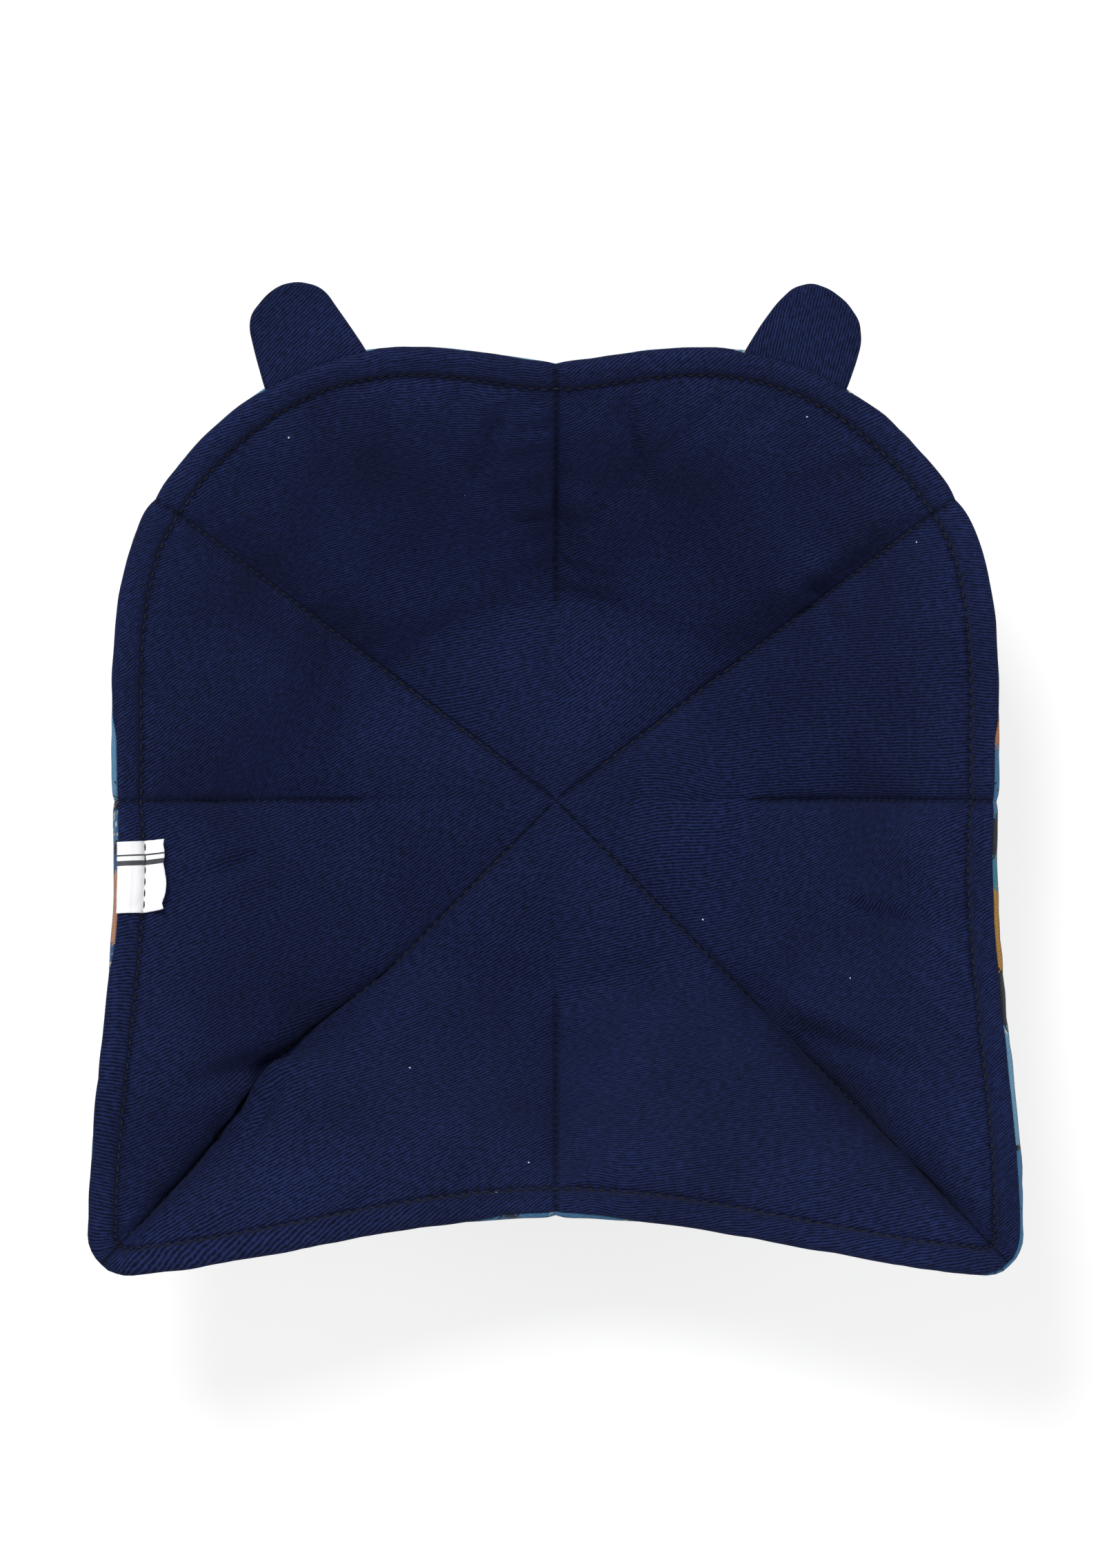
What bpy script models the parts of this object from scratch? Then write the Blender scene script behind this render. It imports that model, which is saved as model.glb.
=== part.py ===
"""A quilted bowl cozy: a lining and a cover, each with its own wadding, joined at a turned rim.

Two ears stand in the rim seam at the back and a folded label lies over the rim on the left.
Lengths are in millimetres and become metres where a mesh is written. The origin is on the ground under
the middle of the base, +Y points to the ears and +Z points up.
"""

import math

import bmesh
import bpy
import numpy as np

METRE = 0.001

# Cloth, wadding and the space kept between pieces that touch
CLEARANCE = 0.3
LINING_T = 0.8
COVER_T = 1.0
EAR_CLOTH_T = 0.55
LABEL_T = 0.35
STITCHED_WADDING_T = 0.4  # what a row of stitches leaves of one wadding

# Padding, as half of the thickness of the whole quilt
BASE_HALF_T = 3.6
WALL_HALF_T = 4.3
ROLL_R = 2.4
ROLL_PINCH = 0.45  # how much of the roll's padding a seam takes away
PUFF_POWER = 0.85
PUFF_REACH = 13.0  # how far from a seam the quilt is at its full thickness
STITCH_REACH = 9.0  # the same from the row of stitches along the rim
SEAM_SINK = 1.4  # how far a seam pulls the wall outwards
SINK_REACH = 7.0
BASE_TO_WALL = 0.3  # the share of the wall over which its fuller padding sets in

# The base that the bowl stands on
BASE_R = 43.0
HUB_R = 12.5  # the pressed middle, where the quilting lines cross
HUB_FADE = 7.0

# The rim from above: the right half, from the back dart round to the front dart
BACK_Y = 101.6
BACK_CORNER = (92.3, 69.6)
HALF_WIDTH = 102.1
FRONT_HALF_WIDTH = 106.2
FRONT_CORNER_Y = -98.2
FRONT_CORNER_R = 9.5
FRONT_CORNER_TURN = 95.6  # degrees from the side's direction to the front edge's
FRONT_Y = -95.9
BACK_HANDLES = ((17.2, -0.8), (-36.6, 50.8))
SHOULDER_HANDLES = ((11.0, -17.8), (0.1, 27.2))
SIDE_HANDLES = ((-2.3, -35.1), (0.0, 33.5))
FRONT_CORNER_HANDLE = 34.7
FRONT_DART_HANDLE = 33.6
CURVE_STEPS = 60
ARC_STEPS = 12
PROBE_S = 0.5  # the steps that the surface's direction is read from, in millimetres and in rows
PROBE_W = 0.004
NORMAL_SPAN = 10.0  # the stretch of rim that one edge direction is read from

# What changes from seam to seam: back dart, back corner, side dart, front corner, front dart
RIM_HEIGHTS = (58.0, 63.0, 57.0, 72.0, 57.0)
RIM_SLOPES = (46.0, 42.0, 46.0, 37.0, 46.0)  # degrees above level
PINCHES = (0.3, 0.6, 0.2, 0.0, 0.3)
PINCH_REACH = 3.5

# The border between the rim and its row of stitches
BORDER_W = 5.4
SEAM_ANGLE = 142.0  # degrees round the roll from its top to the seam of lining and cover
SHOWN_SEAM_ANGLE = 72.0  # the same where the cover rolls up into view
EAR_SEAM_ANGLE = 118.0  # the same at the ears
SHOWN_STRETCHES = ((1.75, 3.05), (3.85, 4.15), (5.65, 6.25))  # in seams from the back dart
SHOWN_FADE = 0.12
EAR_SEAM_FADE = 6.0

# Ears
EAR_FROM_DART = 43.0
EAR_W = 26.5
EAR_H = 22.4
EAR_CURL = 3.0
EAR_PILLOW = 0.7
EAR_HEIGHTS = (0.045, 0.2, 0.435, 0.65, 0.8, 0.91, 1.0)  # shares of its height, and its width at each
EAR_WIDTHS = (1.0, 0.975, 0.89, 0.82, 0.72, 0.52, 0.22)
EAR_COLUMNS = 7
EAR_EASE = 1.6

# Label
LABEL_FROM_DART = 9.4
LABEL_W = 16.3
LABEL_FLAP = 2.6
LABEL_LIFT = 0.8
LABEL_FOLD_SHARE = 0.93

# Mesh lines
SECTOR_COLUMNS = (0.0, 0.07, 0.27, 0.5, 0.73, 0.93)
EAR_SECTOR_COLUMNS = (0.0, 0.07, 0.24, 0.93)
LABEL_SECTOR_COLUMNS = (0.0, 0.07, 0.27, 0.5)
WALL_ROWS = (1.14, 1.32, 1.52, 1.7, 1.84, 1.94, 2.0)
BORDER_ROWS = (2.45, 3.0)
WADDING_END = 2.6
ROLL_STEPS = 3

SEAMS = 8
LABEL_SECTOR = 5  # the stretch that ends at the left dart, counted from the back dart

STITCHED_HALF_T = max(LINING_T, COVER_T) + CLEARANCE + STITCHED_WADDING_T + CLEARANCE / 2
EAR_GAP = EAR_CLOTH_T + CLEARANCE * 1.5


def cubic(start, first, second, end):
    """Points of a cubic curve whose two handles are given from its own ends."""
    t = np.linspace(0.0, 1.0, CURVE_STEPS)[:, None]
    points = np.array([start, np.add(start, first), np.add(end, second), end], dtype=float)
    return (
        (1 - t) ** 3 * points[0]
        + 3 * (1 - t) ** 2 * t * points[1]
        + 3 * (1 - t) * t**2 * points[2]
        + t**3 * points[3]
    )


def arc(centre, radius, first, last):
    """Points of an arc between two angles in degrees."""
    angles = np.radians(np.linspace(first, last, ARC_STEPS))
    return np.add(centre, radius * np.stack([np.cos(angles), np.sin(angles)], axis=1))


def joined(*stretches):
    """One run of points from stretches that share their end points."""
    return np.concatenate([stretches[0], *[stretch[1:] for stretch in stretches[1:]]])


def half_outline():
    """The four stretches of the right half of the rim, each from one seam to the next."""
    side_end = (FRONT_HALF_WIDTH, FRONT_CORNER_Y)
    corner = (FRONT_HALF_WIDTH - FRONT_CORNER_R, FRONT_CORNER_Y)
    turn = FRONT_CORNER_TURN
    front_start = arc(corner, FRONT_CORNER_R, 0.0, -turn)[-1]
    along = np.radians(-turn - 90.0)
    front_handle = (FRONT_CORNER_HANDLE * math.cos(along), FRONT_CORNER_HANDLE * math.sin(along))
    return (
        cubic((0.0, BACK_Y), BACK_HANDLES[0], BACK_HANDLES[1], BACK_CORNER),
        cubic(BACK_CORNER, SHOULDER_HANDLES[0], SHOULDER_HANDLES[1], (HALF_WIDTH, 0.0)),
        joined(
            cubic((HALF_WIDTH, 0.0), SIDE_HANDLES[0], SIDE_HANDLES[1], side_end),
            arc(corner, FRONT_CORNER_R, 0.0, -turn / 2),
        ),
        joined(
            arc(corner, FRONT_CORNER_R, -turn / 2, -turn),
            cubic(front_start, front_handle, (FRONT_DART_HANDLE, 0.0), (0.0, FRONT_Y)),
        ),
    )


class Rim:
    """The rim walked clockwise from the back dart by the distance s along its outline."""

    def __init__(self):
        stretches = half_outline()
        lengths = [float(np.linalg.norm(np.diff(run, axis=0), axis=1).sum()) for run in stretches]
        half = joined(*stretches)
        mirrored = half[::-1] * np.array([-1.0, 1.0])
        self.points = joined(half, mirrored)
        steps = np.linalg.norm(np.diff(self.points, axis=0), axis=1)
        self.distances = np.concatenate([[0.0], np.cumsum(steps)])
        self.length = float(self.distances[-1])
        ends = np.cumsum([0.0, *lengths])
        self.seams = np.concatenate([ends, self.length - ends[-2::-1]])

    def by_seam(self, s, values):
        """A value given at the seams of one half, eased from seam to seam all the way round."""
        around = np.array([*values, *values[-2::-1]], dtype=float)
        place = self.seam_count(s)
        before = np.clip(np.floor(place).astype(int), 0, SEAMS - 1)
        ease = 0.5 - 0.5 * np.cos(np.pi * (place - before))
        return around[before] * (1 - ease) + around[before + 1] * ease

    def seam_count(self, s):
        """The distance along the rim told in seams passed, such as 1.5 midway between two."""
        return np.interp(np.mod(s, self.length), self.seams, np.arange(SEAMS + 1))

    def seam_distance(self, s):
        """The distance along the rim to the nearest seam."""
        gaps = np.abs(np.mod(s, self.length)[..., None] - self.seams)
        return gaps.min(axis=-1)

    def outline(self, s):
        """The outline's own point, in plan."""
        s = np.mod(s, self.length)
        return np.stack([np.interp(s, self.distances, self.points[:, axis]) for axis in (0, 1)], axis=-1)

    def outward(self, s):
        """The level direction square to the rim, in plan."""
        along = self.outline(s + NORMAL_SPAN) - self.outline(s - NORMAL_SPAN)
        along /= np.linalg.norm(along, axis=-1, keepdims=True)
        return np.stack([-along[..., 1], along[..., 0]], axis=-1)

    def roll(self, s):
        """The radius of the padded roll, which the seams draw in."""
        near = np.exp(-((self.seam_distance(s) / PINCH_REACH) ** 2))
        return ROLL_R - near * (ROLL_R - STITCHED_HALF_T) * ROLL_PINCH

    def centre(self, s):
        """The middle of the padded roll."""
        pinch = self.by_seam(s, PINCHES) * np.exp(-((self.seam_distance(s) / PINCH_REACH) ** 2))
        plan = self.outline(s) - self.outward(s) * (self.roll(s) + pinch)[..., None]
        height = self.by_seam(s, RIM_HEIGHTS) - ROLL_R
        return np.concatenate([plan, height[..., None]], axis=-1)

    def seam_angle(self, s):
        """The angle round the roll at which lining and cover meet, in radians."""
        place = self.seam_count(s)
        shown = np.zeros_like(place)
        for first, last in SHOWN_STRETCHES:
            inside = np.minimum(place - first, last - place) / SHOWN_FADE
            shown = np.maximum(shown, np.clip(0.5 + inside, 0.0, 1.0))
        near_ear = 1.0 - np.clip(self.past_ear(s) / EAR_SEAM_FADE, 0.0, 1.0)
        plain = SEAM_ANGLE + (SHOWN_SEAM_ANGLE - SEAM_ANGLE) * shown
        return np.radians(plain + (EAR_SEAM_ANGLE - SEAM_ANGLE) * near_ear)

    def past_ear(self, s):
        """The distance along the rim beyond the edges of the nearest ear, below nothing inside it."""
        s = np.mod(s, self.length)
        from_dart = np.minimum(s, self.length - s)
        return np.abs(from_dart - EAR_FROM_DART - EAR_W / 2) - EAR_W / 2 - CLEARANCE

    def seam_gap(self, s):
        """Half of the opening between lining and cover, which is wider where an ear stands in it."""
        open_share = 1.0 - np.clip(self.past_ear(s) / EAR_EASE, 0.0, 1.0)
        return CLEARANCE / 2 + (EAR_GAP - CLEARANCE / 2) * open_share


def blend(start, end, start_slope, end_slope, t):
    """A smooth run between two places that leaves and arrives with the given slopes."""
    return (
        start * (2 * t**3 - 3 * t**2 + 1)
        + end * (3 * t**2 - 2 * t**3)
        + start_slope * (t**3 - 2 * t**2 + t)
        + end_slope * (t**3 - t**2)
    )


def rounded(distance, reach):
    """A puff's share of its full height at a distance from its seam."""
    return np.sin(np.pi / 2 * np.clip(distance / reach, 0.0, 1.0)) ** PUFF_POWER


class Quilt:
    """The padded form. Row w runs 0 to 1 over the base, on to 2 up the wall and to 3 over the border."""

    def __init__(self, rim):
        self.rim = rim

    def stitch_line(self, s):
        """The row of stitches inside the border."""
        slope = np.radians(self.rim.by_seam(s, RIM_SLOPES))
        run = BORDER_W - ROLL_R
        centre = self.rim.centre(s)
        inward = np.concatenate([-self.rim.outward(s) * run, (-np.tan(slope) * run)[..., None]], axis=-1)
        return centre + inward

    def middle(self, s, w):
        """The surface midway through the padding."""
        s, w = np.broadcast_arrays(np.asarray(s, dtype=float), np.asarray(w, dtype=float))
        stitch = self.stitch_line(s)
        centre = self.rim.centre(s)
        radius = np.linalg.norm(stitch[..., :2], axis=-1)
        radial = stitch[..., :2] / radius[..., None]
        level = np.zeros_like(radius)[..., None]
        foot = np.concatenate([radial * BASE_R, level + BASE_HALF_T], axis=-1)
        run = (radius - BASE_R)[..., None]
        slope = np.tan(np.radians(self.rim.by_seam(s, RIM_SLOPES)))
        facing = np.sum(radial * self.rim.outward(s), axis=-1)
        leave = np.concatenate([radial * run, level], axis=-1)
        arrive = np.concatenate([radial, (slope * facing)[..., None]], axis=-1) * run
        t = np.clip(w - 1.0, 0.0, 1.0)[..., None]
        wall = blend(foot, stitch, leave, arrive, t)
        base = foot * np.clip(w, 0.0, 1.0)[..., None]
        base[..., 2] = BASE_HALF_T
        border = stitch + (centre - stitch) * (w[..., None] - 2.0)
        w = w[..., None]
        return np.where(w <= 1.0, base, np.where(w <= 2.0, wall, border))

    def upward(self, s, w):
        """The unit direction square to the middle surface, on the side of the bowl."""
        around = self.middle(s + PROBE_S, w) - self.middle(s - PROBE_S, w)
        out = self.middle(s, np.minimum(w + PROBE_W, 3.0)) - self.middle(s, w - PROBE_W)
        square = np.cross(around, out)
        square = square / np.linalg.norm(square, axis=-1, keepdims=True)
        on_base = np.asarray(w <= 1.0)[..., None]
        return np.where(on_base, np.array([0.0, 0.0, 1.0]), square)

    def spread(self, s, w):
        """How long a stretch of rim is at row w, as a share of its length at the rim."""
        at_row = np.linalg.norm(self.middle(s, w)[..., :2], axis=-1)
        at_rim = np.linalg.norm(self.rim.centre(s)[..., :2], axis=-1)
        return at_row / at_rim

    def half_thickness(self, s, w):
        """Half of the quilt's thickness: puffs between seams, grooves along them."""
        radius = BASE_R * np.clip(w, 0.0, 1.0)
        seam_gap = self.rim.seam_distance(s) * self.spread(s, w)
        puff = rounded(seam_gap, PUFF_REACH)
        pressed = np.clip((HUB_R + HUB_FADE - radius) / HUB_FADE, 0.0, 1.0)
        puff = np.maximum(puff, pressed)
        full = BASE_HALF_T + (WALL_HALF_T - BASE_HALF_T) * np.clip((w - 1.0) / BASE_TO_WALL, 0.0, 1.0)
        stitch = self.stitch_line(s)
        wall_run = np.linalg.norm(stitch[..., :2], axis=-1) - BASE_R
        puff = puff * rounded((2.0 - np.minimum(w, 2.0)) * wall_run, STITCH_REACH)
        wall = STITCHED_HALF_T + (full - STITCHED_HALF_T) * puff
        over = np.sin(np.pi / 2 * np.clip(w - 2.0, 0.0, 1.0))
        border = STITCHED_HALF_T + (self.rim.roll(s) - STITCHED_HALF_T) * over
        return np.where(w <= 2.0, wall, border)

    def sink(self, s, w):
        """How far a seam draws the wall outwards, nothing on the base and at the border."""
        seam_gap = self.rim.seam_distance(s) * self.spread(s, w)
        up_wall = np.sin(np.pi * np.clip(w - 1.0, 0.0, 1.0))
        return SEAM_SINK * up_wall * np.exp(-((seam_gap / SINK_REACH) ** 2))

    def point(self, s, w, offset):
        """A point at a distance from the middle surface, counted towards the bowl."""
        raised = (offset - self.sink(s, w))[..., None]
        return self.middle(s, w) + self.upward(s, w) * raised

    def round_roll(self, s, angle, radius):
        """A point on the roll, at an angle in radians from its top towards the outside."""
        centre = self.middle(s, np.full_like(s, 3.0))
        top = self.upward(s, np.full_like(s, 3.0))
        out = centre - self.middle(s, np.full_like(s, 3.0 - PROBE_W))
        out = out - top * np.sum(out * top, axis=-1, keepdims=True)
        out = out / np.linalg.norm(out, axis=-1, keepdims=True)
        return centre + radius[..., None] * (top * np.cos(angle)[..., None] + out * np.sin(angle)[..., None])


def label_edges(rim):
    """Where the label's two edges cross the rim, just before the left dart."""
    last = rim.seams[LABEL_SECTOR + 1] - LABEL_FROM_DART
    return last - LABEL_W, last


def column_places(rim):
    """Where the mesh lines cross the rim: close together at the seams and at the ears' edges."""
    places = []
    for seam in range(SEAMS):
        start = rim.seams[seam]
        length = rim.seams[seam + 1] - start
        if seam == LABEL_SECTOR:
            first, last = label_edges(rim)
            near = [share * length for share in LABEL_SECTOR_COLUMNS]
            places += [*[start + place for place in near], first, (first + last) / 2, last]
        elif seam in (0, SEAMS - 1):
            edges = (
                EAR_FROM_DART - CLEARANCE - EAR_EASE,
                EAR_FROM_DART - CLEARANCE,
                EAR_FROM_DART + EAR_W / 2,
                EAR_FROM_DART + EAR_W + CLEARANCE,
                EAR_FROM_DART + EAR_W + CLEARANCE + EAR_EASE,
            )
            shares = EAR_SECTOR_COLUMNS[1:]
            inner = sorted([*edges, *[share * length for share in shares]])
            if seam:
                inner = [length - place for place in reversed(inner)]
            places += [start, *[start + place for place in inner]]
        else:
            places += [start + share * length for share in SECTOR_COLUMNS]
    return np.array(places)


def row_places(last):
    """The rows from the pressed middle out to the last one."""
    rows = [HUB_R / BASE_R, 1.0, *WALL_ROWS, *BORDER_ROWS]
    return [row for row in rows if row < last] + [last]


def cloth_end(quilt, s, radius, side):
    """The angle round the roll at which a face of the lining, side 1, or of the cover, side -1, stops."""
    back_off = np.arcsin(np.clip(quilt.rim.seam_gap(s) / radius, 0.0, 1.0))
    return quilt.rim.seam_angle(s) - side * back_off


def cloth_side(quilt, columns, inner, side, cloth_t):
    """One face of a cloth layer: rows out to the rim, then round the roll to the seam."""
    rows = []
    for w in row_places(3.0):
        w_row = np.full_like(columns, w)
        offset = side * (quilt.half_thickness(columns, w_row) - (cloth_t if inner else 0.0))
        rows.append(quilt.point(columns, w_row, offset))
    radius = quilt.rim.roll(columns) - (cloth_t if inner else 0.0)
    start = 0.0 if side > 0 else np.pi
    end = cloth_end(quilt, columns, radius, side)
    for step in range(1, ROLL_STEPS + 1):
        angle = start + (end - start) * step / ROLL_STEPS
        rows.append(quilt.round_roll(columns, angle, radius))
    return np.array(rows)


def wadding_side(quilt, columns, side, cloth_t, by_cloth):
    """One face of a wadding, which lies between its cloth and the middle surface."""
    rows = []
    for w in row_places(WADDING_END):
        w_row = np.full_like(columns, w)
        if by_cloth:
            offset = quilt.half_thickness(columns, w_row) - cloth_t - CLEARANCE
        else:
            offset = np.full_like(columns, CLEARANCE / 2)
        rows.append(quilt.point(columns, w_row, side * offset))
    return np.array(rows)


def centre_point(rows):
    """The middle of the base at the height of a face's first row."""
    return np.array([0.0, 0.0, rows[0][:, 2].mean()])


def add_object(name, bm, colour, roughness, sheen):
    """Turns a finished mesh into a named object with its own material."""
    bmesh.ops.recalc_face_normals(bm, faces=bm.faces)
    for face in bm.faces:
        face.smooth = True
    mesh = bpy.data.meshes.new(name)
    bm.to_mesh(mesh)
    bm.free()
    material = bpy.data.materials.new(name)
    material.use_nodes = True
    shader = material.node_tree.nodes["Principled BSDF"]
    shader.inputs["Base Color"].default_value = (*colour, 1.0)
    shader.inputs["Roughness"].default_value = roughness
    shader.inputs["Metallic"].default_value = 0.0
    shader.inputs["Sheen Weight"].default_value = sheen
    mesh.materials.append(material)
    item = bpy.data.objects.new(name, mesh)
    bpy.context.scene.collection.objects.link(item)
    return item


def vertex_rows(bm, rows):
    """Vertices for a grid of points in millimetres."""
    return [[bm.verts.new(tuple(point * METRE)) for point in row] for row in rows]


def strip(bm, first, second, closed):
    """Faces between two rows of vertices, split the same way in every layer so that none cross."""
    count = len(first)
    for i in range(count if closed else count - 1):
        j = (i + 1) % count
        bm.faces.new((first[i], first[j], second[j]))
        bm.faces.new((first[i], second[j], second[i]))


def fan(bm, centre, row):
    """Faces from a ring of vertices to its centre."""
    hub = bm.verts.new(tuple(centre * METRE))
    for i, vertex in enumerate(row):
        bm.faces.new((hub, vertex, row[(i + 1) % len(row)]))


def dish(name, upper, lower, colour, roughness, sheen):
    """A closed dish between two faces of rings."""
    bm = bmesh.new()
    faces = [vertex_rows(bm, upper), vertex_rows(bm, lower)]
    for rows, points in zip(faces, (upper, lower)):
        fan(bm, centre_point(points), rows[0])
        for first, second in zip(rows, rows[1:]):
            strip(bm, first, second, closed=True)
    strip(bm, faces[0][-1], faces[1][-1], closed=True)
    return add_object(name, bm, colour, roughness, sheen)


def patch(name, upper, lower, colour, roughness, sheen):
    """A closed sheet between two faces that have four edges."""
    bm = bmesh.new()
    top, bottom = vertex_rows(bm, upper), vertex_rows(bm, lower)
    for rows in (top, bottom):
        for first, second in zip(rows, rows[1:]):
            strip(bm, first, second, closed=False)
    edges = [
        (top[0], bottom[0]),
        (top[-1], bottom[-1]),
        ([row[0] for row in top], [row[0] for row in bottom]),
        ([row[-1] for row in top], [row[-1] for row in bottom]),
    ]
    for first, second in edges:
        strip(bm, first, second, closed=False)
    return add_object(name, bm, colour, roughness, sheen)


def ear_faces(quilt, start, side):
    """The two faces of one of an ear's cloths. The front cloth has side 1 and the back cloth -1."""
    middle_s = np.array([start + EAR_W / 2])
    ends = quilt.rim.centre(np.array([start, start + EAR_W]))
    along = ends[1] - ends[0]
    along /= np.linalg.norm(along)
    centre = quilt.rim.centre(middle_s)[0]
    angle = quilt.rim.seam_angle(middle_s)
    out = quilt.round_roll(middle_s, angle, np.array([1.0]))[0] - centre
    out -= along * float(out @ along)
    out /= np.linalg.norm(out)
    up = np.cross(along, out)
    if up[2] < 0:
        up = -up
    across = np.linspace(-1.0, 1.0, EAR_COLUMNS)
    faces = []
    for face in (CLEARANCE / 2, CLEARANCE / 2 + EAR_CLOTH_T):
        rows = []
        for height, share in zip(EAR_HEIGHTS, EAR_WIDTHS):
            x = across * EAR_W / 2 * share
            edge = quilt.rim.centre(start + EAR_W / 2 + across * EAR_W / 2)
            chord = centre + along * (across * EAR_W / 2)[:, None]
            curve = (edge - chord) * (1.0 - height)
            pillow = EAR_PILLOW * (1.0 - across**2) * math.sin(math.pi * height)
            lift = EAR_CURL * height**2 + side * (face + pillow)
            rows.append(centre + along * x[:, None] + curve + out * height * EAR_H + up * lift[:, None])
        faces.append(np.array(rows))
    return faces


def label_rows(quilt, s, lift, reach):
    """One run of the label from the rim's seam over the border and out along its flap."""
    radius = quilt.rim.roll(s)
    end = cloth_end(quilt, s, radius, 1)
    rows = [quilt.round_roll(s, end * step / ROLL_STEPS, radius + lift) for step in range(ROLL_STEPS, 0, -1)]
    wall_run = np.linalg.norm(quilt.stitch_line(s)[..., :2], axis=-1) - BASE_R
    flap_end = 2.0 - reach * LABEL_FLAP / wall_run
    border = [np.full_like(s, w) for w in (*BORDER_ROWS[::-1], WALL_ROWS[-1], WALL_ROWS[-2])]
    for w, raised in [*[(row, 0.0) for row in border], (flap_end, LABEL_LIFT * reach)]:
        rows.append(quilt.point(s, w, quilt.half_thickness(s, w) + lift + raised))
    return rows


def label_faces(quilt):
    """The outer and the inner face of the label, folded in half at the end of its flap."""
    first, last = label_edges(quilt.rim)
    s = np.array([last, (first + last) / 2, first])
    faces = []
    for low, high, reach in (
        (CLEARANCE, CLEARANCE * 2 + LABEL_T * 2, 1.0),
        (CLEARANCE + LABEL_T, CLEARANCE * 2 + LABEL_T, LABEL_FOLD_SHARE),
    ):
        under = label_rows(quilt, s, low, reach)
        over = label_rows(quilt, s, high, reach)
        bulge = (under[-1] - under[-2]) * (high - low) / 2 / LABEL_FLAP
        fold = (under[-1] + over[-1]) / 2 + bulge
        faces.append(np.array([*under, fold, *over[::-1]]))
    return faces


def clear_scene():
    """Removes every object that is in the file."""
    for item in list(bpy.data.objects):
        bpy.data.objects.remove(item, do_unlink=True)


def main():
    clear_scene()
    quilt = Quilt(Rim())
    columns = column_places(quilt.rim)
    navy = (0.012, 0.018, 0.075)
    white = (0.86, 0.86, 0.84)
    layers = (("lining", 1, LINING_T, navy), ("cover", -1, COVER_T, (0.10, 0.22, 0.40)))
    for name, side, cloth_t, colour in layers:
        faces = [cloth_side(quilt, columns, inner, side, cloth_t) for inner in (False, True)]
        dish(name, faces[0], faces[1], colour, 0.9, 0.3)
        faces = [wadding_side(quilt, columns, side, cloth_t, by_cloth) for by_cloth in (True, False)]
        dish(name + "_wadding", faces[0], faces[1], white, 1.0, 0.0)
    ear_starts = (("right", EAR_FROM_DART), ("left", quilt.rim.length - EAR_FROM_DART - EAR_W))
    for hand, start in ear_starts:
        for cloth, side in (("front", 1), ("back", -1)):
            inner, outer = ear_faces(quilt, start, side)
            patch(f"{hand}_ear_{cloth}", outer, inner, navy, 0.9, 0.3)
    outside, inside = label_faces(quilt)
    patch("label", outside, inside, white, 0.8, 0.1)


main()
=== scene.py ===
"""The looks of a quilted microwave bowl cozy: a twill lining over a jacquard cover, with ears and a label.

Lengths are in millimetres and become metres where a mesh is written. The origin is on the ground under
the middle of the base, +Y points to the ears and +Z points up.
"""

from __future__ import annotations

import logging
import math
from dataclasses import dataclass, field
from enum import Enum, IntEnum

import bmesh
import bpy
import numpy as np
from mathutils import Matrix, Vector, noise

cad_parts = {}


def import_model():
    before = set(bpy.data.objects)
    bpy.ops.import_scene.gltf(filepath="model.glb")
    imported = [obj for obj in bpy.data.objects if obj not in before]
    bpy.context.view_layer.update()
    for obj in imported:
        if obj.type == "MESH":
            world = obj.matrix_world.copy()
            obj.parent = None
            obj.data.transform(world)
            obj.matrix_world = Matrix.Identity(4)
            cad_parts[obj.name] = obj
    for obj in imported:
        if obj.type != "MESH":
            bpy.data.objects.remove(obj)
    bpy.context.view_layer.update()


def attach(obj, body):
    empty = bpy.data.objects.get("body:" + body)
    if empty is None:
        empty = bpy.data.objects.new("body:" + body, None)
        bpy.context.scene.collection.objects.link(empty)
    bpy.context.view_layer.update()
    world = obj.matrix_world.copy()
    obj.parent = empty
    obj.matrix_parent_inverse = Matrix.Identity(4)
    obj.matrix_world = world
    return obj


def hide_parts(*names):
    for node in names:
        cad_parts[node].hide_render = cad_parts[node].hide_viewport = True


METRE = 0.001
SEAMS = 8
STITCH_MM = 2.6
LINING_T = 0.8
COVER_T = 1.0
# The scale at which a wave texture repeats once a millimetre.
WAVE_PER_MM = 2 * math.pi / 20 / METRE
LOG = logging.getLogger("bowl_cozy")
# Each ear's edge, across and up it, from the seam over the top and back to the seam.
LEFT_EAR = (
    *((13.1, 1.0), (12.6, 3.2), (10.9, 8.8), (9.2, 14.2), (8.6, 16.6), (6.9, 19.2), (3.0, 21.7)),
    *((-0.9, 22.4), (-4.6, 21.5), (-9.7, 18.5), (-11.3, 15.6), (-12.2, 9.5), (-12.9, 3.2), (-13.1, 1.0)),
)
RIGHT_EAR = (
    *((13.1, 1.0), (13.1, 3.4), (12.9, 8.0), (12.4, 12.6), (10.2, 16.9), (5.9, 19.9), (1.2, 21.4)),
    *((-3.2, 21.3), (-6.9, 18.7), (-9.3, 14.2), (-11.2, 8.6), (-12.6, 3.2), (-13.1, 1.0)),
)


class Side(IntEnum):
    """The face of the quilt: the lining on the inside of the dish, the cover on the outside."""

    LINING = 1
    COVER = -1


class Dye(Enum):
    """The yarn colours that the jacquard is woven from."""

    SKY = "5f99c1"
    BLUE = "4079a7"
    DEEP_BLUE = "2d5d8e"
    NAVY = "1a2338"
    BLACK = "131620"
    OCHRE = "b9893e"
    TAN = "c79172"
    RUST = "bd7d55"
    TEAL = "3a87a0"
    PALE = "6fa3c5"
    CREAM = "d8d2c4"
    DARK = "1d2a42"


def linear(code: str) -> tuple[float, float, float, float]:
    """Turns an sRGB colour into the linear values that shaders take.

    Args:
        code: six hex digits, such as "1c2549".

    Returns:
        Red, green, blue and an alpha of one.
    """
    shares = [int(code[i : i + 2], 16) / 255 for i in (0, 2, 4)]
    red, green, blue = [c / 12.92 if c <= 0.04045 else ((c + 0.055) / 1.055) ** 2.4 for c in shares]
    return (red, green, blue, 1.0)


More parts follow.
